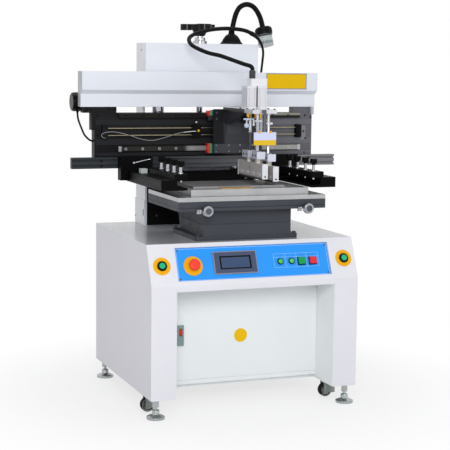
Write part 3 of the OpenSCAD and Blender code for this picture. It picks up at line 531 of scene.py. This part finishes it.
# %% Routes
def smooth_route(points, steps):
    """Smooth curve through points in millimetres, as a draughtsman's spline would run."""
    route, points = [], [at(*p) for p in points]
    last = len(points) - 1
    for i in range(last):
        a, b, c, d = points[max(i - 1, 0)], points[i], points[i + 1], points[min(i + 2, last)]
        for k in range(steps):
            u = k / steps
            route.append(0.5 * (2 * b + (c - a) * u + (2 * a - 5 * b + 4 * c - d) * u * u
                                + (3 * b - a - 3 * c + d) * u ** 3))
    return route + [points[last]]


def even(route, gap):
    """The same line with points an even distance apart."""
    out, carry = [route[0]], 0.0
    for a, b in zip(route, route[1:]):
        length = (b - a).length
        reach = gap - carry
        while reach <= length:
            out.append(a.lerp(b, reach / length))
            reach += gap
        carry = length - (reach - gap)
    if (out[-1] - route[-1]).length > gap * 0.3:
        out.append(route[-1])
    else:
        out[-1] = route[-1]
    return out


def swept(name, route, radius_at, finish_name, sides=16):
    """A tube round a line, as a piece; radius_at gives its radius at each point's number."""
    work, normal, rings = bmesh.new(), None, []
    turns = [2 * pi * k / sides for k in range(sides)]
    for i, point in enumerate(route):
        ahead = (route[min(i + 1, len(route) - 1)] - route[max(i - 1, 0)]).normalized()
        normal = (normal or ahead.orthogonal()) - ahead * (normal or ahead.orthogonal()).dot(ahead)
        normal.normalize()
        across = ahead.cross(normal)
        rings.append([work.verts.new(point + radius_at(i) * (cos(a) * normal + sin(a) * across)) for a in turns])
    for low, high in zip(rings, rings[1:]):
        for k in range(sides):
            work.faces.new((low[k], low[(k + 1) % sides], high[(k + 1) % sides], high[k]))
    work.faces.new(reversed(rings[0]))
    work.faces.new(rings[-1])
    mesh = smooth(as_mesh(work, name), VERY_SHARP)
    mesh.materials.append(finish[finish_name])
    return shown(name, mesh)


def laid(piece, node, line, width, **more):
    """Hides the CAD node of a cord; the piece, its line and its width are not used."""
    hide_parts(node)


# %% Air hose
HOSE_THICK = [(95, 321, 1310.3), (95, 321, 1314), (95, 321, 1318), (89, 326, 1327), (68, 345, 1335),
              (42, 376, 1347), (0, 430, 1367), (-34, 468, 1377), (-66, 506, 1393), (-86, 545, 1412),
              (-85, 575, 1436), (-54, 590, 1456), (13, 596, 1474), (78, 600, 1481), (131, 602, 1480),
              (176, 604, 1474), (212, 608, 1460)]
HOSE_THIN = [(212, 608, 1460), (240, 615, 1440), (260, 625, 1414), (271, 636, 1384), (272, 645, 1348),
             (268, 646, 1308), (264, 643, 1284), (264, 643, 1266.4)]
hose_line = even(smooth_route(HOSE_THICK, 12), 0.0015)
tail_line = even(smooth_route(HOSE_THIN, 10), 0.006)
collar_line = hose_line[-9:] + tail_line[1:5]
hose = swept("air_hose", hose_line, lambda i: 0.0085 - 0.0006 * (i % 3 == 0), "cable_black", 18)
tail = swept("air_hose_tail", tail_line, lambda i: max(0.005, 0.0078 - 0.00022 * i), "cable_black")
collar = swept("hose_collar", collar_line, lambda i: (0.0098, 0.0102)[0 < i < 9] - 0.0008 * max(0, i - 8),
               "plastic_black")
for part in (collar, hose, tail):
    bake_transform(part)
laid(hose, "hose", hose_line, 0.017, far_end="fitting", stiffness="medium", with_pieces=[collar])
laid(tail, "hose", tail_line, 0.01, far_end="object", stiffness="medium", with_pieces=[])

# %% Motor and sensor cables
MOTOR_CABLE = [(-532, 671.3, 1140), (-533, 669.3, 1130), (-534, 650.3, 1102), (-525, 634, 1068),
               (-516, 622, 1042), (-500, 616, 1024), (-490, 614, 1018), (-482, 614, 1017)]
SENSOR_CABLE = [(-440, 569, 1032), (-446, 565, 1031), (-456, 562, 1034), (-461, 561, 1044),
                (-448, 561, 1053), (-418, 561, 1056), (-389, 561, 1053), (-338, 561, 1040),
                (-291, 561, 1025), (-244, 561, 1020), (-188, 561, 1032), (-131, 560, 1049),
                (-80, 559, 1055), (-63, 558, 1056), (-57, 560, 1056), (-56, 563.7, 1056)]
motor_line = even(smooth_route(MOTOR_CABLE, 8), 0.004)
motor_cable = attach(swept("motor_lead", motor_line, lambda i: 0.004, "cable_black", 14), HEAD)
laid(motor_cable, "motor_cable", motor_line, 0.008, far_end="object")
sensor_line = even(smooth_route(SENSOR_CABLE, 8), 0.003)
sensor_cable = swept("sensor_lead", sensor_line, lambda i: 0.0015, "cable_tones", 10)
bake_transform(sensor_cable)
laid(sensor_cable, "sensor_cable", sensor_line, 0.003, far_end="object")


# %% [markdown]
# ## Pieces that repeat
# Screws, ridges, rings, lights and holes are grown by Geometry Nodes, from named inputs for their
# sizes, so that one tree serves every place. A tree makes its pieces in a flat layout; the result is
# read back as a plain mesh, set in its place and joined with the others of the same body.

# %% A short way to write trees
class Grower:
    """A Geometry Nodes tree with named inputs."""

    def __init__(self, name, **inputs):
        self.tree = bpy.data.node_groups.new(name, "GeometryNodeTree")
        for in_out in ("INPUT", "OUTPUT"):
            self.tree.interface.new_socket("Geometry", in_out=in_out, socket_type="NodeSocketGeometry")
        for key, value in inputs.items():
            kind = "NodeSocketInt" if isinstance(value, int) else "NodeSocketFloat"
            self.tree.interface.new_socket(key, in_out="INPUT", socket_type=kind).default_value = value
        self.tree.interface.new_socket("Finish", in_out="INPUT", socket_type="NodeSocketMaterial")
        self.given = self.tree.nodes.new("NodeGroupInput").outputs

    def __getitem__(self, key):
        return self.given[key]

    def add(self, kind, links=(), **settings):
        return wire(self.tree, "GeometryNode" + kind, links, **settings).outputs

    def sum(self, operation, *values):
        return maths(self.tree, operation, *values)

    def along(self, **axes):
        """A vector from numbers along X, Y or Z."""
        return wire(self.tree, "CombineXYZ", axes).outputs[0]

    def end(self, **links):
        """Sets the piece on every point, makes the copies real and gives them their finish."""
        spread = self.add("InstanceOnPoints", links)[0]
        real = self.add("RealizeInstances", {"Geometry": spread})[0]
        done = self.add("SetMaterial", {"Geometry": real, "Material": self["Finish"]})[0]
        self.tree.links.new(done, self.tree.nodes.new("NodeGroupOutput").inputs[0])

    def grow(self, base=None, **values):
        """Runs the tree and gives its plain mesh."""
        holder = shown("holder", base or bpy.data.meshes.new("holder"))
        modifier = holder.modifiers.new("grow", "NODES")
        modifier.node_group = self.tree
        for item in self.tree.interface.items_tree:
            if item.in_out == "INPUT" and item.name in values:
                modifier[item.identifier] = values[item.name]
        return applied(holder)


def grown(name, body, finish_name, tree, rows):
    """One piece from grown meshes. rows: (matrix that sets it in place, the tree's sizes)."""
    work = bmesh.new()
    for place, sizes in rows:
        mesh = tree.grow(Finish=finish[finish_name], **sizes)
        mesh.transform(place)
        work.from_mesh(mesh)
    bmesh.ops.recalc_face_normals(work, faces=work.faces)
    return placed(name, smooth(as_mesh(work, name)), body, finish_name)


# %% Screws, ridges, rings, lights and holes
screws = Grower("screw_row", Count=4, Pitch=0.02, Head=0.008, Height=0.004)
head = screws.add("MeshCone", {"Vertices": 20, "Radius Top": screws.sum("MULTIPLY", screws["Head"], 0.46),
                               "Radius Bottom": screws.sum("MULTIPLY", screws["Head"], 0.5),
                               "Depth": screws["Height"]})[0]
socket = screws.add("MeshCylinder", {"Vertices": 6, "Radius": screws.sum("MULTIPLY", screws["Head"], 0.27),
                                     "Depth": screws["Height"]})[0]
lift = screws.along(Z=screws.sum("MULTIPLY", screws["Height"], 0.5))
raised = screws.add("Transform", {"Geometry": socket, "Translation": lift})[0]
capped = screws.add("MeshBoolean", {0: head, 1: raised}, operation="DIFFERENCE", solver="EXACT")[0]
line = screws.add("MeshLine", {"Count": screws["Count"], "Offset": screws.along(X=screws["Pitch"])})[0]
screws.end(Points=line, Instance=capped)

ridges = Grower("ridge_ring", Count=60, Radius=0.0195, Length=0.02, Ridge=0.0016)
circle = ridges.add("MeshCircle", {"Vertices": ridges["Count"], "Radius": ridges["Radius"]})[0]
bar_size = ridges.along(X=ridges["Ridge"], Y=ridges["Ridge"], Z=ridges["Length"])
bar = ridges.add("MeshCube", {"Size": bar_size})[0]
number = ridges.add("InputIndex")[0]
angle = ridges.sum("ADD", ridges.sum("MULTIPLY", ridges.sum("DIVIDE", number, ridges["Count"]), 2 * pi), pi / 4)
ridges.end(Points=circle, Instance=bar, Rotation=ridges.along(Z=angle))

rings = Grower("rings_on_line", Gap=0.004, Radius=0.011, Wire=0.0012)
bent = rings.add("MeshToCurve", {"Mesh": rings["Geometry"]})[0]
spots = rings.add("CurveToPoints", {"Curve": bent, "Length": rings["Gap"]}, mode="LENGTH")
hoop = rings.add("CurvePrimitiveCircle", {"Resolution": 28, "Radius": rings["Radius"]})[0]
round_wire = rings.add("CurvePrimitiveCircle", {"Resolution": 8, "Radius": rings["Wire"]})[0]
torus = rings.add("CurveToMesh", {"Curve": hoop, "Profile Curve": round_wire})[0]
rings.end(Points=spots[0], Instance=torus, Rotation=spots["Rotation"])

dots = Grower("dot_circle", Count=12, Radius=0.02, Dot=0.0025)
around = dots.add("MeshCircle", {"Vertices": dots["Count"], "Radius": dots["Radius"]})[0]
ball = dots.add("MeshUVSphere", {"Segments": 12, "Rings": 8, "Radius": dots["Dot"]})[0]
dots.end(Points=around, Instance=ball)

holes = Grower("hole_grid", Across=10, Along=10, Width=0.3, Depth=0.2, Hole=0.004)
net = holes.add("MeshGrid", {"Size X": holes["Width"], "Size Y": holes["Depth"],
                             "Vertices X": holes["Across"], "Vertices Y": holes["Along"]})[0]
dish = holes.add("MeshCylinder", {"Vertices": 12, "Radius": holes.sum("MULTIPLY", holes["Hole"], 0.5),
                                  "Depth": 0.0004})[0]
holes.end(Points=net, Instance=dish)
print("trees:", len(bpy.data.node_groups))

# %% Setting them in place
FORWARD, BACKWARD, UP = (0, -1, 0), (0, 1, 0), (0, 0, 1)
LEFT, RIGHT, DOWN = (-1, 0, 0), (1, 0, 0), (0, 0, -1)


def facing(point, towards, along=RIGHT):
    """Matrix that lays a flat layout on a face: its Z looks towards, its X runs along."""
    z = Vector(towards).normalized()
    x = (Vector(along) - z * Vector(along).dot(z)).normalized()
    return Matrix.Translation(at(*point)) @ Matrix((x, z.cross(x), z)).transposed().to_4x4()


def screw_piece(name, body, finish_name, head, height, rows):
    """rows: (first point, direction faced, direction along, count, pitch), all in millimetres."""
    grown(name, body, finish_name, screws,
          [(facing(point, towards, along), {"Count": count, "Pitch": pitch / 1000, "Head": head / 1000,
                                            "Height": height / 1000}) for point, towards, along, count, pitch in rows])


# %% [markdown]
# ## Cabinet
# Folded sheet steel under white powder paint, with a glossy top plate. The fascia slopes back; the blue
# film panel lies in a pocket in it. Rounded folds of 2 mm catch the light as the real ones do.

# %% Cabinet
RAISED = -0.2262  # what stands in front of the recess panel's own sheet
dressed("cabinet",
        [("cabinet_white", None), ("deck_gloss", lambda c, n: n.z > 0.99 and c.z > 0.655),
         ("recess_grey", lambda c, n: abs(c.x) < 0.326 and -0.37 < c.y < -0.2 and c.z < 0.485 and n.z < 0.5)], 2.2, 3)
dressed("recess_panel",
        [("recess_grey", None),
         ("breaker_grey", lambda c, n: -0.269 < c.x < -0.242 and c.y < RAISED and 0.24 < c.z < 0.33),
         ("label_yellow", lambda c, n: abs(c.x + 0.004) < 0.028 and c.y < RAISED and 0.24 < c.z < 0.3)],
        0).data.shade_flat()
dressed("breaker_rocker", "rocker_red", 0.4)

# %% Feet and casters
dressed("levelling_feet", [("zinc", None), ("rubber", lambda c, n: c.z < 0.003)], 0.8)
for place, sign in (("left", -1), ("right", 1)):
    dressed("caster_fork_" + place, "fork_zinc", 1.2)
    hub = at(sign * 376 - 22, 132, 32)
    dressed("caster_wheel_" + place,
            [("rubber", None), ("fork_zinc", lambda c, n: (c - hub).xz.length < 0.018)], 0.6)
screw_piece("fork_nuts", BASE, "zinc", 11, 5,
            [((x, y, 77.5), DOWN, RIGHT, 1, 10) for x in (-395, 395) for y in (62, 714)])

# %% [markdown]
# ## Control panel
# A blue film with thin pale outlines round the lamps and buttons, an emergency stop on a yellow ring, a
# touch screen in a two-part bezel, two domed lamps and two square buttons. A start button stands at each
# end of the fascia. The outlines carry no words. Everything is laid out flat, from the panel's middle,
# and one matrix tilts it onto the slope.

# %% Panel
FASCIA_FOOT, FASCIA_LEAN, PANEL_MIDDLE, POCKET_DEPTH = 509, 24.2443, 83.8, 8
PANEL = (Matrix.Translation(at(0, 0, FASCIA_FOOT)) @ Matrix.Rotation(radians(90 - FASCIA_LEAN), 4, "X")
         @ Matrix.Translation((0, PANEL_MIDDLE / 1000, -POCKET_DEPTH / 1000)))
dressed("control_panel", "panel_film", 0.5)
lines = border(82, 272, -28, 28, 1, 1, 1) + [(x, x + 1, -28, 28) for x in (131, 178, 220)] + [(82, 272, 13, 14)]
lines += border(-311, 311, -62, 62, 1.5, 1.5, 1.5)
Shape(PANEL).bars(lines, 0, 0.35).piece("panel_lines", BASE, "panel_blue", "panel_line", 0)
dressed("screen_bezel", "bezel_grey", 1.2)
Shape(PANEL).bars(border(-163, 7, -41, 41, 21, 15), 5.9, 6.7).piece(
    "screen_frame", BASE, "bezel_plastic", "bezel_dark", 0.3)
Shape(PANEL).bars(border(-142.5, -13.5, -26.5, 26.5, 7, 5.7, 0.2), 4.9, 5.7).piece(
    "screen_rim", BASE, "black_plastic", "plastic_black", 0.3)
dressed("screen_glass", "screen_dark", 0.2)

# %% Buttons and lamps
dressed("button_rings", "plastic_black", 0.8)
dressed("yellow_rings", "ring_yellow", 0.5)
dressed("panel_lamps", "lamp_green", 0.3)
dressed("fixings", [("dark_zinc", None), ("casting_grey", lambda c, n: 0.66 < c.z < 0.72),
                                    ("steel", lambda c, n: c.z > 0.72)], 0.5)
dressed("stop_button", "stop_red", 0.6)
dressed("start_button_left", "start_green", 0.6)
dressed("start_button_right", "start_green", 0.6)
dressed("green_button", "square_green")
dressed("red_button", "square_red")
frames = [bar for x in (197, 245) for bar in border(x - 16, x + 16, -22, 10, 2.2, 2.2, 0.2)]
Shape(PANEL).bars(frames, 0, 3.4).piece("button_frames", BASE, "black_plastic", "plastic_black")

# %% [markdown]
# ## Column, posts and cover
# White side sheets and a white top box stand behind the table; between them two chromed posts and a stop
# screw carry the print head. A black sheet closes the foot of the column.

# %% Column
# The column's lower side faces take the lighter copy of the white paint, painted light; its upper side faces take the
# darker copy, painted shade.
dressed("column",
        [("head_white", None), ("lit_side_white", lambda c, n: abs(n.x) > 0.9 and c.z < 1.2),
         ("shaded_side_white", lambda c, n: abs(n.x) > 0.9 and c.z > 1.2)], 1.5)
dressed("column_cover", "plastic_matt")
dressed("guide_posts", "chrome", 0.6)
dressed("stop_screw", "chrome", 0.8)
# The slot in the column's side is a thin black sheet: painted shade inside it.
Shape().box(-254.4, -254, 651, 659, 700, 726).piece("column_slot", BASE, "column_paint", "plastic_black", 0)
screw_piece("column_screws", BASE, "steel", 8, 2.4,
            [((-254.2, 760, 690), LEFT, UP, 1, 10), ((254.2, 655, 690), RIGHT, UP, 1, 10),
             ((254.2, 760, 690), RIGHT, UP, 1, 10), ((-250, 700, 1260), LEFT, UP, 2, 130),
             ((250, 700, 1260), RIGHT, UP, 2, 130)]
            + [((x, 773.2, z), BACKWARD, UP, count, pitch) for x in (-225, 225)
               for z, count, pitch in ((680, 5, 60), (1260, 2, 130))]
            + [((x, 642, 700), FORWARD, UP, 2, 150) for x in (-200, 200)])

# %% [markdown]
# ## Handwheel and lamp
# A glossy lobed wheel turns the stop screw. The work lamp's neck is a bent tube wound with wire, so rings
# are set along its line. Its head has fine ribs, and three circles of lights behind a clear lens.

# %% Handwheel and lamp
dressed("handwheel", "wheel_black", 2.5, 3)
Shape().turned((9, 705, 1499.5), UP, [(17, 0), (17, 1.6), (15, 3), (0, 3.2)], 40).piece(
    "handwheel_cap", "stop_wheel", "chrome", "chrome")
dressed("lamp_stand", "plastic_matt", 0)
GOOSENECK = [(152, 700, 1478), (156, 700, 1496), (169, 700, 1546), (188, 700, 1576), (219, 700, 1588),
             (252, 700, 1576), (279, 698, 1536), (292, 696, 1496)]
neck = line_mesh("neck_line", even(smooth_route(GOOSENECK, 10), 0.002))
grown("gooseneck_rings", BASE, "plastic_black", rings,
      [(Matrix(), dict(base=neck, Gap=0.0032, Radius=0.0094, Wire=0.0014))])
LAMP = (Matrix.Translation(at(293, 696, 1492)) @ Matrix.Rotation(radians(-6), 4, "Y")
        @ Matrix.Rotation(radians(-14), 4, "X"))
RIBS, LIGHTS = LAMP @ Matrix.Translation((0, 0, -0.018)), LAMP @ Matrix.Translation((0, 0, -0.066))
dressed("lamp_head", "plastic_black", 1.2, 3)
grown("lamp_head_ridges", BASE, "plastic_black", ridges,
      [(RIBS, dict(Count=48, Radius=0.0356, Length=0.016, Ridge=0.0018))])
dressed("lamp_lens", "lens_clear", 2.0, 3)
grown("lamp_lights", BASE, "led_white", dots,
      [(LIGHTS, dict(Count=count, Radius=radius, Dot=0.0042))
       for count, radius in ((18, 0.026), (12, 0.018), (6, 0.009))])

# %% [markdown]
# ## Table
# A dark casting carries a dark box, a light tray and a ground plate with a jig plate on it. Two knurled
# knobs shift the plate. The jig plate has rows of small pin holes.

# %% Table
JIG_FOOT = 0.8602
dressed("table_stand", "casting_grey", 1.6, 3)
dressed("table_tray", "tray_metal", 1.2)
dressed("work_plate",
        [("plate_metal", None), ("tray_metal", lambda c, n: n.y < -0.9 and c.z < JIG_FOOT),
         ("copper", lambda c, n: -0.111 < c.x < 0.018 and c.y < -0.252 and c.z > JIG_FOOT)], 0.8)
# The pin holes are thin black discs on the plate: painted shade where the holes are.
grown("pin_holes", "work_table", "plastic_black", holes,
      [(Matrix.Translation(at(-25, 260, 866.05)), dict(Across=19, Along=12, Width=0.36, Depth=0.22, Hole=0.004))])
Shape().box(-303.2, 303.2, 54.8, 430.8, 793.4, 794.6).piece("table_seam", BASE, "casting_paint", "plastic_matt", 0)
for place, x in (("left", -193), ("right", 222)):
    dressed("knob_" + place, "steel", 0.8)
    Shape().turned((x, 28.2, 783), BACKWARD, disc(11.5, 1), 32).piece(
        "knob_face_" + place, "adjuster_" + place, "knob_metal", "dark_zinc", 0)
    grown("knob_knurl_" + place, "adjuster_" + place, "steel", ridges,
          [(facing((x, 37, 783), FORWARD), dict(Count=72, Radius=0.0194, Length=0.0175, Ridge=0.0012))])

# %% [markdown]
# ## Print head
# A dark cross beam under a white hood, two ground rails, two thin sensor rods, and below it the slotted
# rail that holds the stencil arms.

# %% Beam and hood
BEAM_FACE = 590.2
# The beam and its strips take the graded finishes: painted shade at the left end, painted reflection at the right.
dressed("beam",
        [("beam_dark", None), ("plastic_matt", lambda c, n: 0.4 < c.x < 0.428 and c.y < 0.203 and c.z < 1.09)], 1.2)
strips = Shape()
for front, z0, z1 in ((588.2, 1001, 1026), (588.2, 1082, 1104), (588.6, 955, 970)):
    strips.box(-479, 479, front, BEAM_FACE, z0, z1)
strips.piece("beam_strips", HEAD, "beam_paint", "beam_light", 0.6)
dressed("lift_bridge", "bridge_metal", 1.2)
# The hood's side faces take the darker copy of the white paint: painted shade.
dressed("hood", [("head_white", None), ("shaded_side_white", lambda c, n: abs(n.x) > 0.9)], 1.4, 3)
dressed("hood_label", "label_yellow", 0.2)
trim = Shape()
for x0, x1, z0, z1 in border(257.5, 442.5, 1231, 1297.5, 3, 3, 2.5):
    trim.box(x0, x1, 561.4, 563.2, z0, z1)
trim.piece("label_border", HEAD, "label_yellow", "label_edge", 0.3)

# %% Rails and motor
LOW_RAIL, HIGH_RAIL, RAIL_FACE = 985, 1121, 573.7
# Both rails and the slotted rail darken to the left and brighten to the right: painted shade and painted reflection.
# The upper rail stays dark at its foot, a painted shadow.
dressed("head_rails",
        [("low_rail", None), ("rod_cream", lambda c, n: 1.03 < c.z < 1.08), ("high_rail", lambda c, n: c.z > 1.1)], 0.8)
dressed("slot_rail", "slot_grey", 0.6)
dressed("drive_motor", "plastic_black", 1.2)
grown("motor_fins", HEAD, "plastic_black", ridges,
      [(facing((-524, 671.3, 1174), RIGHT, UP), dict(Count=28, Radius=0.0372, Length=0.05, Ridge=0.0022))])
Shape().turned((-532, 671.3, 1145), DOWN, [(8, 0), (8, 4), (6, 5), (6, 9), (4.6, 15), (0, 15)]).piece(
    "motor_gland", HEAD, "motor_paint", "plastic_matt", 0.3)
for name, finish_name, head, z in (("rail_caps", "steel", 12, LOW_RAIL),
                                   ("upper_rail_caps", "plastic_black", 9, HIGH_RAIL)):
    screw_piece(name, HEAD, finish_name, head, 1.2, [((-355, RAIL_FACE, z), FORWARD, RIGHT, 11, 72)])

# %% Small parts of the beam
Shape().box(-385.5, -373, 572.6, 589, 974, 996).box(409, 423, 572.6, 589, 974, 996).piece(
    "rail_stops", HEAD, "rail_steel", "steel", 0.6)
Shape().box(429, 453, 586, 590.4, 1014, 1076).piece("rod_plate", HEAD, "beam_paint", "plate_grey", 0.8)
Shape().box(473, 485, 574, 632, 1124, 1157).piece("hood_bracket", HEAD, "column_paint", "bracket_white", 0.8)
screw_piece("beam_screws", HEAD, "plastic_black", 8, 3,
            [((-442, 568, 1034), FORWARD, UP, 2, 41), ((414, 568, 1034), FORWARD, UP, 2, 41),
             ((443, 586, 1052), FORWARD, (9, 0, -31), 2, 32), ((477, 590, 1112), FORWARD, UP, 1, 9),
             ((-515, 592, 1145), FORWARD, RIGHT, 2, 20), ((-420, 592, 1145), FORWARD, RIGHT, 2, 20),
             ((450, 590, 960), FORWARD, UP, 3, 80), ((-470, 590, 960), FORWARD, UP, 3, 80),
             ((-470, 588.5, 929), FORWARD, RIGHT, 12, 86)])
screw_piece("slot_nuts", HEAD, "plastic_black", 13, 0.35,
            [((x, 566.25, 940), FORWARD, DOWN, 2, 21) for x in (-460, 460)])

# %% Stroke sensor
dressed("sensor_block", "plastic_matt", 1.2)
Shape().turned((-50, 575, 1090), UP, [(6.5, 0), (6.5, 6), (5.5, 7), (0, 7)], 24).piece(
    "sensor_screw", "stroke_sensor", "fixing_steel", "steel")
Shape().turned((-44, 564.3, 1058), FORWARD, [(5, 0), (5, 1.4), (4, 2), (0, 2)], 24).piece(
    "sensor_eye", "stroke_sensor", "yellow_plastic", "ring_yellow", 0.2)

# %% [markdown]
# ## Carriage and squeegees
# The carriage plate rides on both rails with four guide blocks whose end seals are red and green. A flat
# plate carries two air cylinders; under it the squeegees hang on chromed rods.

# %% Carriage
CYLINDERS, MOUNT_TOP = (84, 130), 1157


def on_mount(c, n):
    return c.y < 0.151 and c.z > 1.1415


dressed("carriage",
        [("carriage_dark", None), ("cylinder_metal", on_mount),
         ("mount_sides", lambda c, n: on_mount(c, n) and abs(n.x) > 0.9)])
Shape().box(74, 136, 538.8, 540.2, 1046, 1130).box(16, 198, 538.8, 540.2, 966, 1004).piece(
    "carriage_panels", CARRIAGE, "carriage_paint", "carriage_panel")
# The black band on the seals is painted shadow.
dressed("block_seals", "seal_colours", 0.6)
dressed("cylinders", "cylinder_metal")
ends = Shape()
for x in CYLINDERS:
    ends.box(x - 20, x + 20, 294.6, 355.4, 1240, 1248.4)
    ends.bars(border(x - 20, x + 20, 294.6, 355.4, 1.2, 1.4, 0.6), MOUNT_TOP, MOUNT_TOP + 9)
ends.piece("cylinder_ends", CARRIAGE, "cylinder_metal", "edge_white", 0.8)
screw_piece("carriage_screws", CARRIAGE, "steel", 7, 2.5,
            [((x, 540, z - 13), FORWARD, UP, 2, 26) for x in (26, 82, 132, 188) for z in (LOW_RAIL, HIGH_RAIL)])
screw_piece("mount_screws", CARRIAGE, "plastic_black", 8, 4,
            [((62, y, MOUNT_TOP), UP, RIGHT, count, pitch)
             for y, count, pitch in ((286, 3, 45), (362, 3, 45), (222, 2, 90))])
dressed("hose_cap", [("cap_white", None), ("cable_grey", lambda c, n: c.z > 1.281)], steps=3)
sleeve = line_mesh("sleeve_line", [at(95, 321, 1279 + i) for i in range(30)])
grown("sleeve_rings", CARRIAGE, "cable_grey", rings,
      [(Matrix(), dict(base=sleeve, Gap=0.0036, Radius=0.0118, Wire=0.0014))])
dressed("brass_fittings", "brass", 0.5)

# %% Air fittings
PUSH_IN = [(6.5, 0), (6.5, 7), (5, 8), (5, 16), (4, 17), (4, 22), (3, 23), (0, 23)]
fittings = Shape()
for x, y in ((62, 262), (108, 262), (96, 282)):
    fittings.turned((x, y, 1142), DOWN, PUSH_IN, 6)
for x, z, r in ((58, 1130, 9), (53, 1111, 5), (85, 1125, 6), (131, 1114, 6)):
    fittings.turned((x, 262, z - r), UP, [(0, 0), (r * 0.7, r * 0.3), (r, r), (r * 0.7, r * 1.7), (0, 2 * r)])
fittings.piece("speed_fittings", CARRIAGE, "brass", "brass")
release = Shape()
release.turned((37, 262, 1118.5), RIGHT, [(3.4, 0), (3.4, 14), (4.6, 16), (4.6, 30), (3.4, 32), (3.4, 44)])
release.turned((50, 262, 1083), UP, [(0, 0), (7, 2), (9.5, 7), (9.5, 13), (7, 18), (3, 20), (3, 34)], 24)
for x in (64, 110):
    release.turned((x, 273, 1124), FORWARD, [(5.5, 0), (5.5, 7), (4.5, 8), (0, 8)])
release.piece("fitting_rings", CARRIAGE, "brass", "fitting_blue")
stubs = Shape()
for x, foot, length in ((65, 1076, 40), (80, 1092, 24)):
    stubs.turned((x, 262, foot), UP, [(4.4, 0), (4.8, 1), (4.8, 8), (3.6, 9), (3.6, length)])
stubs.piece("fitting_stubs", CARRIAGE, "cap_white", "edge_white", 0.3)

# %% Sign plate
dressed("sign_plate",
        [("sign_colours", None), ("dark_zinc", lambda c, n: c.y > -0.1945 or c.z > 1.0725)], 0.6)
clips = Shape()
for x in (76, 124):
    clips.box(x - 4, x + 4, 188.5, 193.5, 1066, 1075)
clips.piece("sign_clips", CARRIAGE, "yellow_plastic", "ring_yellow", 0.8)


# %% Squeegees
HOLDER_HIGH, NECK_HIGH, CLAMP_HIGH = 58, 17, 29


def dress_squeegee(place, x, low):
    """One squeegee with its finishes, end plates, oval recesses and screws; low is its holder's foot."""
    body, slot_name, top = place + "_squeegee", "squeegee_metal", low + HOLDER_HIGH + NECK_HIGH + CLAMP_HIGH
    rods = [at(x, y, 0).xy for y in (231, 308)]

    def on_clamp(c, n):
        return (top - 29.5) / 1000 < c.z < (top + 0.5) / 1000 and not near_rod(c)

    def near_rod(c):
        return min((c.xy - rod).length for rod in rods) < 0.0063

    def on_rod(c, n):
        return c.z > top / 1000 and near_rod(c)

    def on_end_stop(c, n):
        return abs(c.z - (low + 223) / 1000) < 0.0048 and abs(c.x - x / 1000) > 0.0055 and c.y < -0.14

    dressed("squeegee_" + place,
            [("squeegee_metal", None), ("clamp_metal", on_clamp), ("chrome", on_rod),
             ("rear_rod", lambda c, n: on_rod(c, n) and c.y > -0.11), ("edge_white", on_end_stop),
             ("blade", lambda c, n: c.z < (low - 0.3) / 1000)], 0.7)
    plates, ovals = Shape(), Shape()
    for y0, y1 in ((145.4, 149.4), (405.6, 408.4)):
        plates.box(x - 11.8, x + 11.8, y0, y1, low - 0.6, low + 58.6)
    plates.piece("end_plates_" + place, body, slot_name, "edge_white", 0.8)
    # The hole in the end plate is a thin black disc: painted shade inside it.
    Shape().turned((x, 145.2, low + 9), BACKWARD, disc(3.6, 1)).piece(
        "end_hole_" + place, body, slot_name, "plastic_black", 0)
    # The oval recesses take the pale finish: painted highlights on the countersinks round the holder screws.
    for sign in (-1, 1):
        face = x + sign * 11
        for y in (185, 245, 305, 365):
            for end in (y - 13, y + 13):
                ovals.turned((face - sign, end, low + 17), (sign, 0, 0), disc(4.6, 1.5))
            ovals.box(*sorted((face, face + sign * 0.5)), y - 13, y + 13, low + 12.4, low + 21.6)
    ovals.piece("holder_ovals_" + place, body, slot_name, "edge_white", 0.15)
    screw_piece("holder_screws_" + place, body, "steel", 6.5, 2.4,
                [((x + sign * out, y, low + up), (sign, 0, 0), BACKWARD, count, 60) for sign in (-1, 1)
                 for out, y, up, count in ((11.4, 185, 17, 4), (11, 275, 42, 1))])
    screw_piece("clamp_screws_" + place, body, "plastic_black", 7, 2.5,
                [((x - 10, y, top), UP, RIGHT, 2, 20) for y in (202, 334)]
                + [((x - 17.5, y, top - 15), LEFT, BACKWARD, 2, pitch) for y, pitch in ((205, 26), (300, 30))])


for place, x, low in zip(("left", "right"), CYLINDERS, (889, 879)):
    dress_squeegee(place, x, low)

# %% [markdown]
# ## Stencil arms
# Two black channels clamp the stencil frame from above with four chromed pins each, turned by lobed
# knobs. An outer ledge and a rear plate hold each arm on the slotted rail.

# %% Arms
PINS = (112, 190, 268, 346)
for place, sign in (("left", -1), ("right", 1)):
    dressed("arm_" + place, "arm_black")
    dressed("arm_pins_" + place,
            [("chrome", None), ("ledge_grey", lambda c, n: c.x < -0.29 and c.z < 0.9175 and c.y > -0.01),
             ("plastic_black", lambda c, n: -0.2735 < c.x < -0.255 and 0.9385 < c.z < 0.9575)], 0.5)
    screw_piece("arm_screws_" + place, place + "_arm", "plastic_black", 8, 3,
                [((sign * 268, 523, 940), FORWARD, (sign, 0, 0), 2, 40)])
    collars = Shape()
    for y in PINS:
        collars.turned((sign * 276, y, 920), UP, [(9, 0), (9, 3), (7.5, 5), (0, 5)], 28)
    collars.piece("pin_collars_" + place, place + "_arm", "arm_black", "steel")

# %% [markdown]
# ## Last step
# The size of the dressed machine's box is printed.

# %% Sizes and finish
low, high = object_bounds()
print("size", [round(b - a, 4) for a, b in zip(low, high)])
